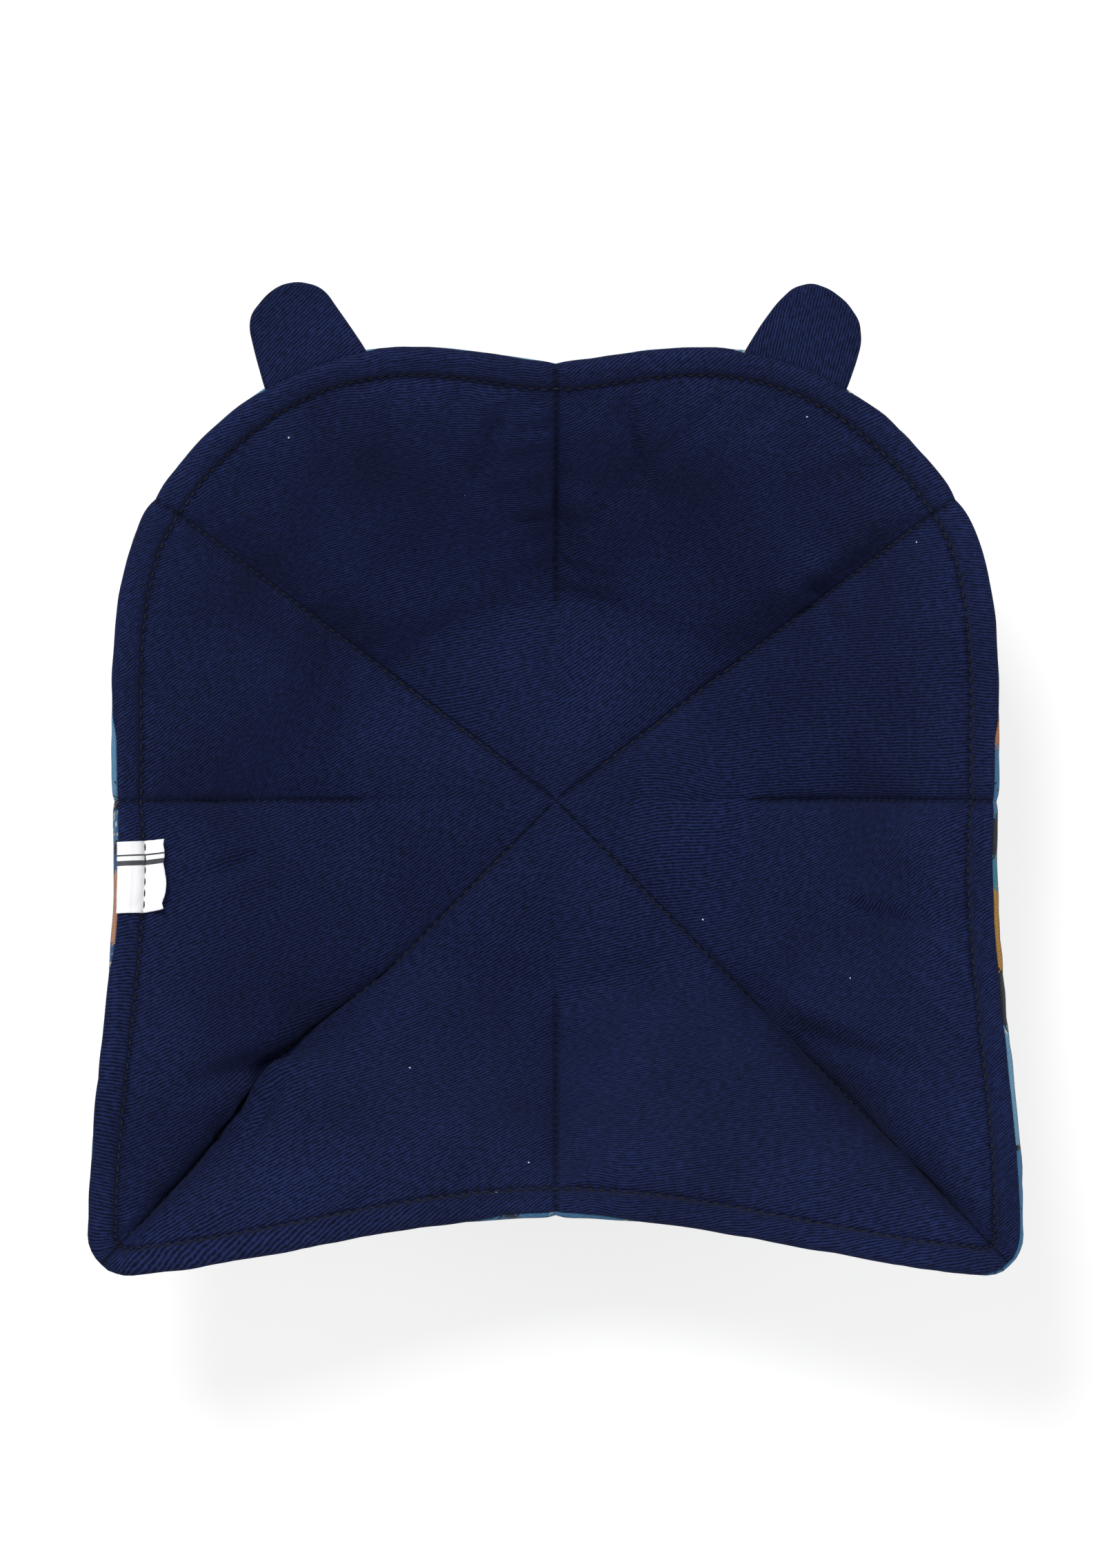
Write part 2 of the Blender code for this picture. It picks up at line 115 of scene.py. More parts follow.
def fill(tree: bpy.types.NodeTree, node: bpy.types.Node, inputs: dict | tuple) -> None:
    """Sets or links the inputs of a node.

    Args:
        tree: the material's node tree.
        node: the node.
        inputs: by name or in order, each a value, a socket, or a node whose first output in use is linked.
    """
    for key, value in inputs.items() if isinstance(inputs, dict) else enumerate(inputs):
        if isinstance(value, bpy.types.Node):
            value = next(output for output in value.outputs if output.enabled)
        if isinstance(value, bpy.types.NodeSocket):
            tree.links.new(value, node.inputs[key])
        else:
            node.inputs[key].default_value = value


def add_node(
    tree: bpy.types.NodeTree,
    kind: str,
    inputs: dict | tuple = (),
    stops: list[tuple[float, str]] | None = None,
    **settings: object,
) -> bpy.types.Node:
    """Adds one node to a material.

    Args:
        tree: the material's node tree.
        kind: the node's type name, without the word ShaderNode.
        inputs: what the node takes, by name or in order.
        stops: places and hex colours, for a colour ramp with sharp steps.
        settings: the node's own options.

    Returns:
        The new node.
    """
    node = tree.nodes.new("ShaderNode" + kind)
    for key, value in settings.items():
        setattr(node, key, value)
    fill(tree, node, inputs)
    if stops:
        ramp = node.color_ramp
        ramp.interpolation = "CONSTANT"
        while len(ramp.elements) > 1:
            ramp.elements.remove(ramp.elements[-1])
        ramp.elements[0].position = stops[0][0]
        ramp.elements[0].color = linear(stops[0][1])
        for place, code in stops[1:]:
            ramp.elements.new(place).color = linear(code)
    return node


def new_material(name: str) -> tuple[bpy.types.Material, bpy.types.NodeTree, bpy.types.Node]:
    """Makes a material with its own shader.

    Args:
        name: the material's name.

    Returns:
        The material, its node tree and its Principled shader.
    """
    material = bpy.data.materials.new(name)
    material.use_nodes = True
    tree = material.node_tree
    return material, tree, tree.nodes["Principled BSDF"]


@dataclass(frozen=True)
class Twill:
    """Cotton twill, warp-faced and matt: fine diagonal wales, dark valleys, a dry bloom and a little lint."""

    name: str = "cotton_twill_navy"
    ridge: str = "1e2954"
    valley: str = "05081c"
    lint: str = "c9cfdd"
    wale_mm: float = 0.68  # the real wales are 0.6 mm apart; drawn a little coarser so that they show
    float_mm: float = 0.6
    angle: float = 24.0
    float_angle: float = 62.0
    streak: float = 0.45
    relief_mm: float = 0.14
    pulled_mm: float = 0.55
    tug_mm: float = 3.4
    flecks_per_mm: float = 1.3
    clouds_per_mm: float = 0.038
    lint_per_mm: float = 0.105
    lint_share: float = 0.4
    lint_size: float = 0.022
    pitch_mm: float = STITCH_MM
    sewn: bool = True

    def material(self) -> bpy.types.Material:
        """Builds the material.

        Returns:
            The finished twill.
        """
        material, tree, shader = new_material(self.name)
        place = add_node(tree, "TexCoord")
        cloth = place.outputs["UV"]
        turned, crossed = [
            add_node(tree, "Mapping", {"Vector": cloth, "Rotation": (0.0, 0.0, math.radians(90.0 - angle))})
            for angle in (self.angle, self.angle + self.float_angle)
        ]
        streaked = add_node(tree, "Mapping", {"Vector": turned, "Scale": (1.0, self.streak, 1.0)})
        wales = add_node(
            tree,
            "TexWave",
            {
                "Vector": turned,
                "Scale": WAVE_PER_MM / self.wale_mm,
                "Distortion": 2.6,
                "Detail": 2.0,
                "Detail Scale": 0.6,
            },
        )
        floats = add_node(
            tree,
            "TexWave",
            {"Vector": crossed, "Scale": WAVE_PER_MM / self.float_mm, "Distortion": 2.2, "Detail Scale": 0.6},
        )
        fleck = add_node(
            tree,
            "TexNoise",
            {"Vector": streaked, "Scale": self.flecks_per_mm / METRE, "Detail": 3.0, "Roughness": 0.75},
        )
        clouds = self.clouds_per_mm / METRE
        cloud = add_node(tree, "TexNoise", {"Vector": place.outputs["Object"], "Scale": clouds, "Detail": 4.0})
        float_share = add_node(tree, "Math", (floats.outputs["Fac"], 0.34, 0.66), operation="MULTIPLY_ADD")
        crests = add_node(tree, "Math", (wales.outputs["Fac"], 1.5), operation="POWER")
        weave = add_node(tree, "Math", (crests, float_share), operation="MULTIPLY")
        worn = add_node(tree, "Math", (fleck, 1.9, -0.9), operation="MULTIPLY_ADD")
        tone = add_node(tree, "Math", (weave, worn), operation="ADD")
        yarns = {"Factor": tone, "A": linear(self.valley), "B": linear(self.ridge)}
        yarn = add_node(tree, "Mix", yarns, data_type="RGBA")
        shading = add_node(tree, "MapRange", (cloud, 0.3, 0.7, 0.82, 1.18))
        bump = add_node(tree, "Bump", {"Height": tone, "Strength": 0.8, "Distance": self.relief_mm * METRE})
        if self.sewn:
            light, height = self.sewing(tree)
            # Multiplies in the painted shade along the stitch lines and seams.
            shading = add_node(tree, "Math", (shading, light), operation="MULTIPLY")
            pulled = {"Height": height, "Strength": 1.0, "Distance": self.pulled_mm * METRE}
            fill(tree, bump, {"Normal": add_node(tree, "Bump", pulled)})
        dyed = add_node(tree, "VectorMath", {0: yarn, "Scale": shading}, operation="SCALE")
        cells = add_node(tree, "TexVoronoi", {"Vector": cloth, "Scale": self.lint_per_mm / METRE})
        bare = 1.0 - self.lint_share
        chosen = add_node(tree, "Math", (cells.outputs["Color"], bare), operation="GREATER_THAN")
        close = add_node(tree, "Math", (cells.outputs["Distance"], self.lint_size), operation="LESS_THAN")
        speck = add_node(tree, "Math", (chosen, close), operation="MULTIPLY")
        linted = add_node(tree, "Mix", {"Factor": speck, "A": dyed, "B": linear(self.lint)}, data_type="RGBA")
        fill(tree, shader, {"Base Color": linted, "Normal": bump, "Roughness": 0.92, "Specular IOR Level": 0.1})
        fill(tree, shader, {"Sheen Weight": 0.04, "Sheen Roughness": 0.45, "Sheen Tint": linear("8f9fd0")})
        return material

    def sewing(self, tree: bpy.types.NodeTree) -> tuple[bpy.types.Node, bpy.types.Node]:
        """Reads the cloth's two sewing maps: the painted shade along each stitch line and seam, and how each
        stitch pulls the cloth.

        Args:
            tree: the material's node tree.

        Returns:
            The node with the share of light left, and the node with the height.
        """
        lights, heights = [], []
        # Width and darkness of the painted shade along the row of stitches and along the seams.
        for map_name, width, depth in (("stitch line", 1.5, 0.8), ("seam line", 1.1, 0.65)):
            uv = add_node(tree, "UVMap", uv_map=map_name)
            parts = add_node(tree, "SeparateXYZ", (uv,))
            away = add_node(tree, "Math", (parts.outputs["Y"],), operation="ABSOLUTE")
            fades = [(away, 0.0, reach * METRE, 1.0, 0.0) for reach in (width, self.tug_mm)]
            near, around = [add_node(tree, "MapRange", fade, interpolation_type="SMOOTHSTEP") for fade in fades]
            turns = 2 * math.pi / self.pitch_mm / METRE
            beat = add_node(tree, "Math", (parts.outputs["X"], turns), operation="MULTIPLY")
            wave = add_node(tree, "Math", (beat,), operation="COSINE")
            dimple = add_node(tree, "Math", (wave, 0.3, -0.8), operation="MULTIPLY_ADD")
            sunk = add_node(tree, "Math", (dimple, near), operation="MULTIPLY")
            tug = add_node(tree, "Math", (wave, around), operation="MULTIPLY")
            heights.append(add_node(tree, "Math", (tug, 0.1, sunk), operation="MULTIPLY_ADD"))
            # Painted shade of the groove and needle holes, with some of the thread's own dark: deepest at each
            # stitch, lighter between.
            shade_and_thread_beat = add_node(tree, "Math", (wave, 0.35, 0.65), operation="MULTIPLY_ADD")
            stitch_shade_and_thread = add_node(tree, "Math", (near, shade_and_thread_beat), operation="MULTIPLY")
            lights.append(add_node(tree, "Math", (stitch_shade_and_thread, -depth, 1.0), operation="MULTIPLY_ADD"))
        light = add_node(tree, "Math", tuple(lights), operation="MULTIPLY")
        height = add_node(tree, "Math", tuple(heights), operation="ADD")
        return light, height


@dataclass(frozen=True)
class Jacquard:
    """Heavy jacquard: thick yarns woven into fields of blue, tan, ochre and black, with cream flecks."""

    name: str = "jacquard_woven"
    yarn_mm: float = 0.6
    pick_share: float = 0.7
    reach_mm: float = 120.0
    wander_per_mm: float = 0.022
    patches_per_mm: float = 0.075
    rim_mm: float = 58.0
    left_fields: tuple[tuple[float, Dye], ...] = (
        (-120.0, Dye.BLUE), (-96.0, Dye.NAVY), (-84.0, Dye.SKY), (-62.0, Dye.OCHRE), (-48.0, Dye.DEEP_BLUE),
        (-33.0, Dye.TAN), (-16.0, Dye.DEEP_BLUE), (-12.0, Dye.NAVY), (-9.5, Dye.BLUE), (-3.0, Dye.BLACK),
        (0.0, Dye.SKY), (20.0, Dye.DEEP_BLUE), (44.0, Dye.TAN), (62.0, Dye.NAVY), (76.0, Dye.SKY),
        (98.0, Dye.PALE),
    )
    right_fields: tuple[tuple[float, Dye], ...] = (
        (-120.0, Dye.BLACK), (-106.0, Dye.BLUE), (-77.0, Dye.BLACK), (-75.5, Dye.PALE), (-50.5, Dye.BLACK),
        (-38.0, Dye.OCHRE), (-21.0, Dye.TEAL), (-14.0, Dye.BLACK), (-4.0, Dye.BLUE), (12.5, Dye.RUST),
        (20.5, Dye.DEEP_BLUE), (44.0, Dye.PALE), (66.0, Dye.OCHRE), (80.0, Dye.NAVY), (94.0, Dye.SKY),
    )

    def fields(self, tree: bpy.types.NodeTree, place: bpy.types.Node, dither: bpy.types.Node) -> bpy.types.Node:
        """Lays the fields of colour, which wander more the further they hang below the rim.

        Args:
            tree: the material's node tree.
            place: the node with the coordinates.
            dither: the node with a random value for each yarn.

        Returns:
            The node with the colour.
        """
        slow = {"Vector": place.outputs["Object"], "Scale": self.wander_per_mm / METRE, "Detail": 2.5}
        wander = add_node(tree, "TexNoise", slow)
        parts = add_node(tree, "SeparateXYZ", (place.outputs["Object"],))
        hanging = (parts.outputs["Z"], -0.9, 0.9 * self.rim_mm * METRE)
        hang = add_node(tree, "Math", hanging, operation="MULTIPLY_ADD")
        drift = add_node(tree, "Math", (wander, 0.5), operation="SUBTRACT")
        drifted = add_node(tree, "Math", (drift, hang), operation="MULTIPLY")
        jitter = add_node(tree, "Math", (dither, 0.0022, -0.0011), operation="MULTIPLY_ADD")
        along = add_node(tree, "Math", (drifted, 5.0, parts.outputs["Y"]), operation="MULTIPLY_ADD")
        dithered = add_node(tree, "Math", (along, jitter), operation="ADD")
        reach = self.reach_mm * METRE
        share = add_node(tree, "MapRange", {"Value": dithered, "From Min": -reach, "From Max": reach})
        left, right = [
            add_node(
                tree,
                "ValToRGB",
                (share,),
                [((y + self.reach_mm) / (2 * self.reach_mm), dye.value) for y, dye in fields],
            )
            for fields in (self.left_fields, self.right_fields)
        ]
        halves = add_node(tree, "Math", (drift, 0.16, parts.outputs["X"]), operation="MULTIPLY_ADD")
        is_right = add_node(tree, "Math", (halves, 0.0), operation="GREATER_THAN")
        return add_node(tree, "Mix", {"Factor": is_right, "A": left, "B": right}, data_type="RGBA")

    def material(self) -> bpy.types.Material:
        """Builds the material.

        Returns:
            The finished jacquard.
        """
        material, tree, shader = new_material(self.name)
        place = add_node(tree, "TexCoord")
        yarn = self.yarn_mm * METRE
        snapped = (place.outputs["UV"], (yarn * self.pick_share, yarn, 1.0))
        thread = add_node(tree, "VectorMath", snapped, operation="SNAP")
        dither = add_node(tree, "TexWhiteNoise", {"Vector": thread}, noise_dimensions="2D")
        colour = self.fields(tree, place, dither)
        patches = self.patches_per_mm / METRE
        patch = add_node(tree, "TexNoise", {"Vector": place.outputs["Object"], "Scale": patches, "Detail": 2.0})
        cream_chance = add_node(tree, "MapRange", (patch, 0.56, 0.74, 0.0, 0.3))
        creamy = add_node(tree, "Math", (cream_chance, dither), operation="GREATER_THAN")
        dark_chance = add_node(tree, "MapRange", (patch, 0.46, 0.3, 1.0, 0.8))
        darkened = add_node(tree, "Math", (dither, dark_chance), operation="GREATER_THAN")
        for chosen, dye in ((creamy, Dye.CREAM), (darkened, Dye.DARK)):
            flecks = {"Factor": chosen, "A": colour, "B": linear(dye.value)}
            colour = add_node(tree, "Mix", flecks, data_type="RGBA")
        ribs, picks = [
            add_node(
                tree,
                "TexWave",
                {
                    "Vector": place.outputs["UV"],
                    "Scale": WAVE_PER_MM / spacing,
                    "Distortion": 0.8,
                    "Detail Scale": 0.5,
                },
                bands_direction=direction,
            )
            for direction, spacing in (("Y", self.yarn_mm), ("X", self.yarn_mm * self.pick_share))
        ]
        weave = add_node(tree, "Math", (ribs.outputs["Fac"], picks.outputs["Fac"]), operation="MULTIPLY")
        lit = add_node(tree, "MapRange", (weave, 0.0, 0.8, 0.5, 1.15))
        shaded = add_node(tree, "VectorMath", {0: colour, "Scale": lit}, operation="SCALE")
        bump = add_node(tree, "Bump", {"Height": weave, "Strength": 0.8, "Distance": 0.3 * METRE})
        fill(tree, shader, {"Base Color": shaded, "Normal": bump, "Roughness": 0.85})
        fill(tree, shader, {"Sheen Weight": 0.15, "Specular IOR Level": 0.3})
        return material


@dataclass(frozen=True)
class Ribbon:
    """White woven polyester ribbon: close cross ribs, a faint gloss and two plain woven stripes."""

    name: str = "polyester_ribbon_white"
    ground: str = "fcfcfc"
    valley: str = "ececef"
    stripe: str = "2a2c33"
    rib_mm: float = 0.34
    width_mm: float = 16.3
    stripes: tuple[tuple[float, float], ...] = ((0.66, 0.73), (0.79, 0.815))

    def material(self) -> bpy.types.Material:
        """Builds the material.

        Returns:
            The finished ribbon.
        """
        material, tree, shader = new_material(self.name)
        cloth = add_node(tree, "TexCoord").outputs["UV"]
        parts = add_node(tree, "SeparateXYZ", (cloth,))
        ribbed = {"Vector": cloth, "Scale": WAVE_PER_MM / self.rib_mm, "Distortion": 0.5}
        ribs = add_node(tree, "TexWave", ribbed, bands_direction="Y").outputs["Fac"]
        grounds = {"Factor": ribs, "A": linear(self.valley), "B": linear(self.ground)}
        ground = add_node(tree, "Mix", grounds, data_type="RGBA")
        stops = [(0.0, "000000")]
        for start, end in self.stripes:
            stops += [(start, "ffffff"), (end, "000000")]
        across = {"Value": parts.outputs["X"], "From Min": 0.0, "From Max": self.width_mm * METRE}
        stripes = add_node(tree, "ValToRGB", (add_node(tree, "MapRange", across),), stops)
        striped = {"Factor": stripes, "A": ground, "B": linear(self.stripe)}
        woven = add_node(tree, "Mix", striped, data_type="RGBA")
        bump = add_node(tree, "Bump", {"Height": ribs, "Strength": 0.5, "Distance": 0.06 * METRE})
        fill(tree, shader, {"Base Color": woven, "Normal": bump, "Roughness": 0.6, "Sheen Weight": 0.1})
        return material


@dataclass(frozen=True)
class Thread:
    """Spun polyester sewing thread: two plies twisted together, with a soft gloss."""

    name: str = "polyester_thread_navy"
    # The thread's own dark navy, deepened towards black as painted shade of the needle holes that each stitch
    # sinks into.
    colour: str = "0e1430"
    shadow: str = "020308"
    ply_mm: float = 0.5

    def material(self) -> bpy.types.Material:
        """Builds the material.

        Returns:
            The finished thread.
        """
        material, tree, shader = new_material(self.name)
        place = add_node(tree, "TexCoord").outputs["Object"]
        turned = add_node(tree, "Mapping", {"Vector": place, "Rotation": (0.6, 0.4, 0.8)})
        twisted = {"Vector": turned, "Scale": WAVE_PER_MM / self.ply_mm, "Distortion": 1.0}
        plies = add_node(tree, "TexWave", twisted, bands_direction="DIAGONAL").outputs["Fac"]
        tones = {"Factor": plies, "A": linear(self.shadow), "B": linear(self.colour)}
        tone = add_node(tree, "Mix", tones, data_type="RGBA")
        bump = add_node(tree, "Bump", {"Height": plies, "Strength": 0.6, "Distance": 0.08 * METRE})
        fill(tree, shader, {"Base Color": tone, "Normal": bump, "Roughness": 0.75, "Specular IOR Level": 0.25})
        return material


@dataclass(frozen=True)
class CottonWadding:
    """Bonded cotton wadding: an off-white felted mat with loose fibres."""

    name: str = "cotton_wadding_white"
    light: str = "efece4"
    dark: str = "d3cec2"
    fibres_per_mm: float = 0.7

    def material(self) -> bpy.types.Material:
        """Builds the material.

        Returns:
            The finished wadding.
        """
        material, tree, shader = new_material(self.name)
        place = add_node(tree, "TexCoord").outputs["Object"]
        felted = {"Vector": place, "Scale": self.fibres_per_mm / METRE, "Detail": 5.0, "Distortion": 2.0}
        fibres = add_node(tree, "TexNoise", felted)
        tones = {"Factor": fibres, "A": linear(self.dark), "B": linear(self.light)}
        tone = add_node(tree, "Mix", tones, data_type="RGBA")
        bump = add_node(tree, "Bump", {"Height": fibres, "Strength": 0.7, "Distance": 0.4 * METRE})
        fill(tree, shader, {"Base Color": tone, "Normal": bump, "Roughness": 1.0, "Sheen Weight": 0.3})
        return material


def cubic(start: object, first: object, second: object, end: object, steps: int = 60) -> np.ndarray:
    """Points of a cubic curve.

    Args:
        start: where it begins, in plan.
        first: its first handle, from its start.
        second: its second handle, from its end.
        end: where it ends, in plan.
        steps: how many points it gets.

    Returns:
        One point a row.
    """
    t = np.linspace(0.0, 1.0, steps)[:, None]
    a, b, c, d = (np.asarray(p, dtype=float) for p in (start, np.add(start, first), np.add(end, second), end))
    return (1 - t) ** 3 * a + 3 * (1 - t) ** 2 * t * b + 3 * (1 - t) * t**2 * c + t**3 * d


def arc(centre: tuple[float, float], radius: float, first: float, last: float, steps: int = 24) -> np.ndarray:
    """Points of an arc.

    Args:
        centre: its centre, in plan.
        radius: its radius.
        first: its first angle, in degrees.
        last: its last angle, in degrees.
        steps: how many points it gets.

    Returns:
        One point a row.
    """
    angles = np.radians(np.linspace(first, last, steps))
    return np.add(centre, radius * np.stack([np.cos(angles), np.sin(angles)], axis=1))


def joined(*stretches: np.ndarray) -> np.ndarray:
    """One run of points from stretches that share their end points."""
    return np.concatenate([stretches[0], *[stretch[1:] for stretch in stretches[1:]]])


def noise_at(points: np.ndarray, size: float, seed: float) -> np.ndarray:
    """Smooth noise.

    Args:
        points: places in millimetres, three numbers each in the last axis.
        size: how large its lumps are, in millimetres.
        seed: shifts the pattern.

    Returns:
        Values from about -1 to 1, one for each place.
    """
    flat = points.reshape(-1, 3) / size + seed
    values = [noise.noise(Vector(place)) for place in flat]
    return np.array(values).reshape(points.shape[:-1])


def bell(distance: np.ndarray, width: float) -> np.ndarray:
    """A smooth bump of height one that fades over the width."""
    return np.exp(-((distance / width) ** 2))


@dataclass
class Rim:
    """The rim from above, walked clockwise from the back dart by the distance s along its outline."""

    back_y: float = 101.6
    back_corner: tuple[float, float] = (92.3, 69.6)
    half_width: float = 102.1
    front_half_width: float = 106.2
    front_corner_y: float = -98.2
    front_corner_r: float = 9.5
    front_corner_turn: float = 95.6
    front_y: float = -95.9
    # The handles of the curves between the seams, and at the front the length of the first one.
    back_handles: tuple = ((17.2, -0.8), (-36.6, 50.8))
    shoulder_handles: tuple = ((11.0, -17.8), (0.1, 27.2))
    side_handles: tuple = ((-2.3, -35.1), (0.0, 33.5))
    front_handles: tuple = (34.7, (33.6, 0.0))
    # At each seam from the back dart to the front dart: the rim's height, the wall's slope in degrees,
    # and how far the seam draws the rim in.
    heights: tuple[float, ...] = (58.0, 63.0, 57.0, 72.0, 57.0)
    slopes: tuple[float, ...] = (46.0, 42.0, 46.0, 37.0, 46.0)
    pinches: tuple[float, ...] = (0.3, 0.6, 0.2, 0.0, 0.3)
    pinch_reach: float = 2.6
    roll_r: float = 2.4
    pinched_roll_r: float = 2.1
    normal_span: float = 10.0
    seam_angle: float = 142.0
    shown_angle: float = 81.0
    ear_angle: float = 118.0
    ear_fade: float = 1.0
    ear_from_dart: float = 43.0
    ear_w: float = 26.5
    # From where to where the cover shows beyond the lining, in seams passed.
    shown: tuple[tuple[float, float], ...] = ((1.75, 3.05), (3.85, 4.15), (5.65, 6.25))
    shown_fade: float = 0.12
    points: np.ndarray = field(init=False)
    distances: np.ndarray = field(init=False)
    seams: np.ndarray = field(init=False)
    length: float = field(init=False)

    def __post_init__(self) -> None:
        """Lays out the outline and measures it."""
        side_end = (self.front_half_width, self.front_corner_y)
        corner = (self.front_half_width - self.front_corner_r, self.front_corner_y)
        turn = self.front_corner_turn
        front_start = arc(corner, self.front_corner_r, 0.0, -turn)[-1]
        along = math.radians(-turn - 90.0)
        front_handle = (self.front_handles[0] * math.cos(along), self.front_handles[0] * math.sin(along))
        stretches = (
            cubic((0.0, self.back_y), *self.back_handles, self.back_corner),
            cubic(self.back_corner, *self.shoulder_handles, (self.half_width, 0.0)),
            joined(
                cubic((self.half_width, 0.0), *self.side_handles, side_end),
                arc(corner, self.front_corner_r, 0.0, -turn / 2),
            ),
            joined(
                arc(corner, self.front_corner_r, -turn / 2, -turn),
                cubic(front_start, front_handle, self.front_handles[1], (0.0, self.front_y)),
            ),
        )
        lengths = [float(np.linalg.norm(np.diff(run, axis=0), axis=1).sum()) for run in stretches]
        half = joined(*stretches)
        self.points = joined(half, half[::-1] * np.array([-1.0, 1.0]))
        steps = np.linalg.norm(np.diff(self.points, axis=0), axis=1)
        self.distances = np.concatenate([[0.0], np.cumsum(steps)])
        self.length = float(self.distances[-1])
        ends = np.cumsum([0.0, *lengths])
        self.seams = np.concatenate([ends, self.length - ends[-2::-1]])

    def seam_count(self, s: np.ndarray) -> np.ndarray:
        """The distance along the rim told in seams passed."""
        return np.interp(np.mod(s, self.length), self.seams, np.arange(SEAMS + 1))

    def by_seam(self, s: np.ndarray, values: tuple) -> np.ndarray:
        """A value given at the seams of one half, eased from seam to seam.

        Args:
            s: distances along the rim.
            values: one for each seam from the back dart to the front dart.

        Returns:
            The value at each distance.
        """
        around = np.array([*values, *values[-2::-1]], dtype=float)
        place = self.seam_count(s)
        before = np.clip(np.floor(place).astype(int), 0, SEAMS - 1)
        ease = 0.5 - 0.5 * np.cos(np.pi * (place - before))
        return around[before] * (1 - ease) + around[before + 1] * ease

    def columns(self, per_sector: int) -> np.ndarray:
        """Where a mesh's columns cross the rim, with one on every seam.

        Args:
            per_sector: how many there are from seam to seam.

        Returns:
            Distances along the rim.
        """
        starts, ends = self.seams[:-1], self.seams[1:]
        runs = [np.linspace(start, end, per_sector, endpoint=False) for start, end in zip(starts, ends)]
        return np.concatenate([*runs, self.seams[-1:]])

    def seam_distance(self, s: np.ndarray) -> np.ndarray:
        """The distance along the rim to the nearest seam."""
        return np.abs(np.mod(s, self.length)[..., None] - self.seams).min(axis=-1)

    def outline(self, s: np.ndarray) -> np.ndarray:
        """The outline's own point, in plan."""
        s = np.mod(s, self.length)
        return np.stack([np.interp(s, self.distances, self.points[:, axis]) for axis in (0, 1)], axis=-1)

    def outward(self, s: np.ndarray) -> np.ndarray:
        """The level direction square to the rim, in plan.

        Args:
            s: distances along the rim.

        Returns:
            Unit directions in plan.
        """
        along = self.outline(s + self.normal_span) - self.outline(s - self.normal_span)
        along /= np.linalg.norm(along, axis=-1, keepdims=True)
        return np.stack([-along[..., 1], along[..., 0]], axis=-1)

    def roll(self, s: np.ndarray) -> np.ndarray:
        """The radius of the padded roll, which the seams draw in."""
        return self.roll_r - bell(self.seam_distance(s), self.pinch_reach) * (self.roll_r - self.pinched_roll_r)

    def centre(self, s: np.ndarray) -> np.ndarray:
        """The middle of the padded roll.

        Args:
            s: distances along the rim.

        Returns:
            Points in millimetres.
        """
        pinch = self.by_seam(s, self.pinches) * bell(self.seam_distance(s), self.pinch_reach)
        plan = self.outline(s) - self.outward(s) * (self.roll(s) + pinch)[..., None]
        height = self.by_seam(s, self.heights) - self.roll_r
        return np.concatenate([plan, height[..., None]], axis=-1)

    def meeting_angle(self, s: np.ndarray) -> np.ndarray:
        """The angle round the roll at which lining and cover meet, in radians.

        Args:
            s: distances along the rim.

        Returns:
            The angle at each distance.
        """
        place = self.seam_count(s)
        shown = np.zeros_like(place)
        for first, last in self.shown:
            inside = np.minimum(place - first, last - place) / self.shown_fade
            share = np.clip(0.5 + inside, 0.0, 1.0)
            shown = np.maximum(shown, share * share * (3 - 2 * share))
        near_ear = 1.0 - np.clip(self.past_ear(s) / self.ear_fade, 0.0, 1.0)
        plain = self.seam_angle + (self.shown_angle - self.seam_angle) * shown
        return np.radians(plain + (self.ear_angle - self.seam_angle) * near_ear)

    def past_ear(self, s: np.ndarray) -> np.ndarray:
        """The distance along the rim beyond the edges of the nearest ear, below nothing inside it.

        Args:
            s: distances along the rim.

        Returns:
            One distance each, in millimetres.
        """
        s = np.mod(s, self.length)
        from_dart = np.minimum(s, self.length - s)
        return np.abs(from_dart - self.ear_from_dart - self.ear_w / 2) - self.ear_w / 2


@dataclass(frozen=True)
class Fold:
    """A soft fold in the lining, drawn as a line on the wall from one place to another."""

    start: tuple[float, float]
    end: tuple[float, float]
    depth: float
    width: float


@dataclass(frozen=True)
class Creases:
    """How high, how large and how far-reaching the creases of one face are, in millimetres."""

    broad: float = 1.6
    broad_size: float = 26.0
    pucker: float = 2.1
    pucker_size: float = 8.5
    pucker_reach: float = 8.5
    border_pucker: float = 0.4
    border_reach: float = 5.0
    gather: float = 1.6
    gather_size: float = 7.5
    gather_reach: float = 7.0
    dart_groove: float = 0.75
    line_groove: float = 0.35
    row_groove: float = 0.45
    crown: float = 0.35
    lump: float = 0.24
    lump_size: float = 14.0
    fine: float = 0.07
    fine_size: float = 5.0


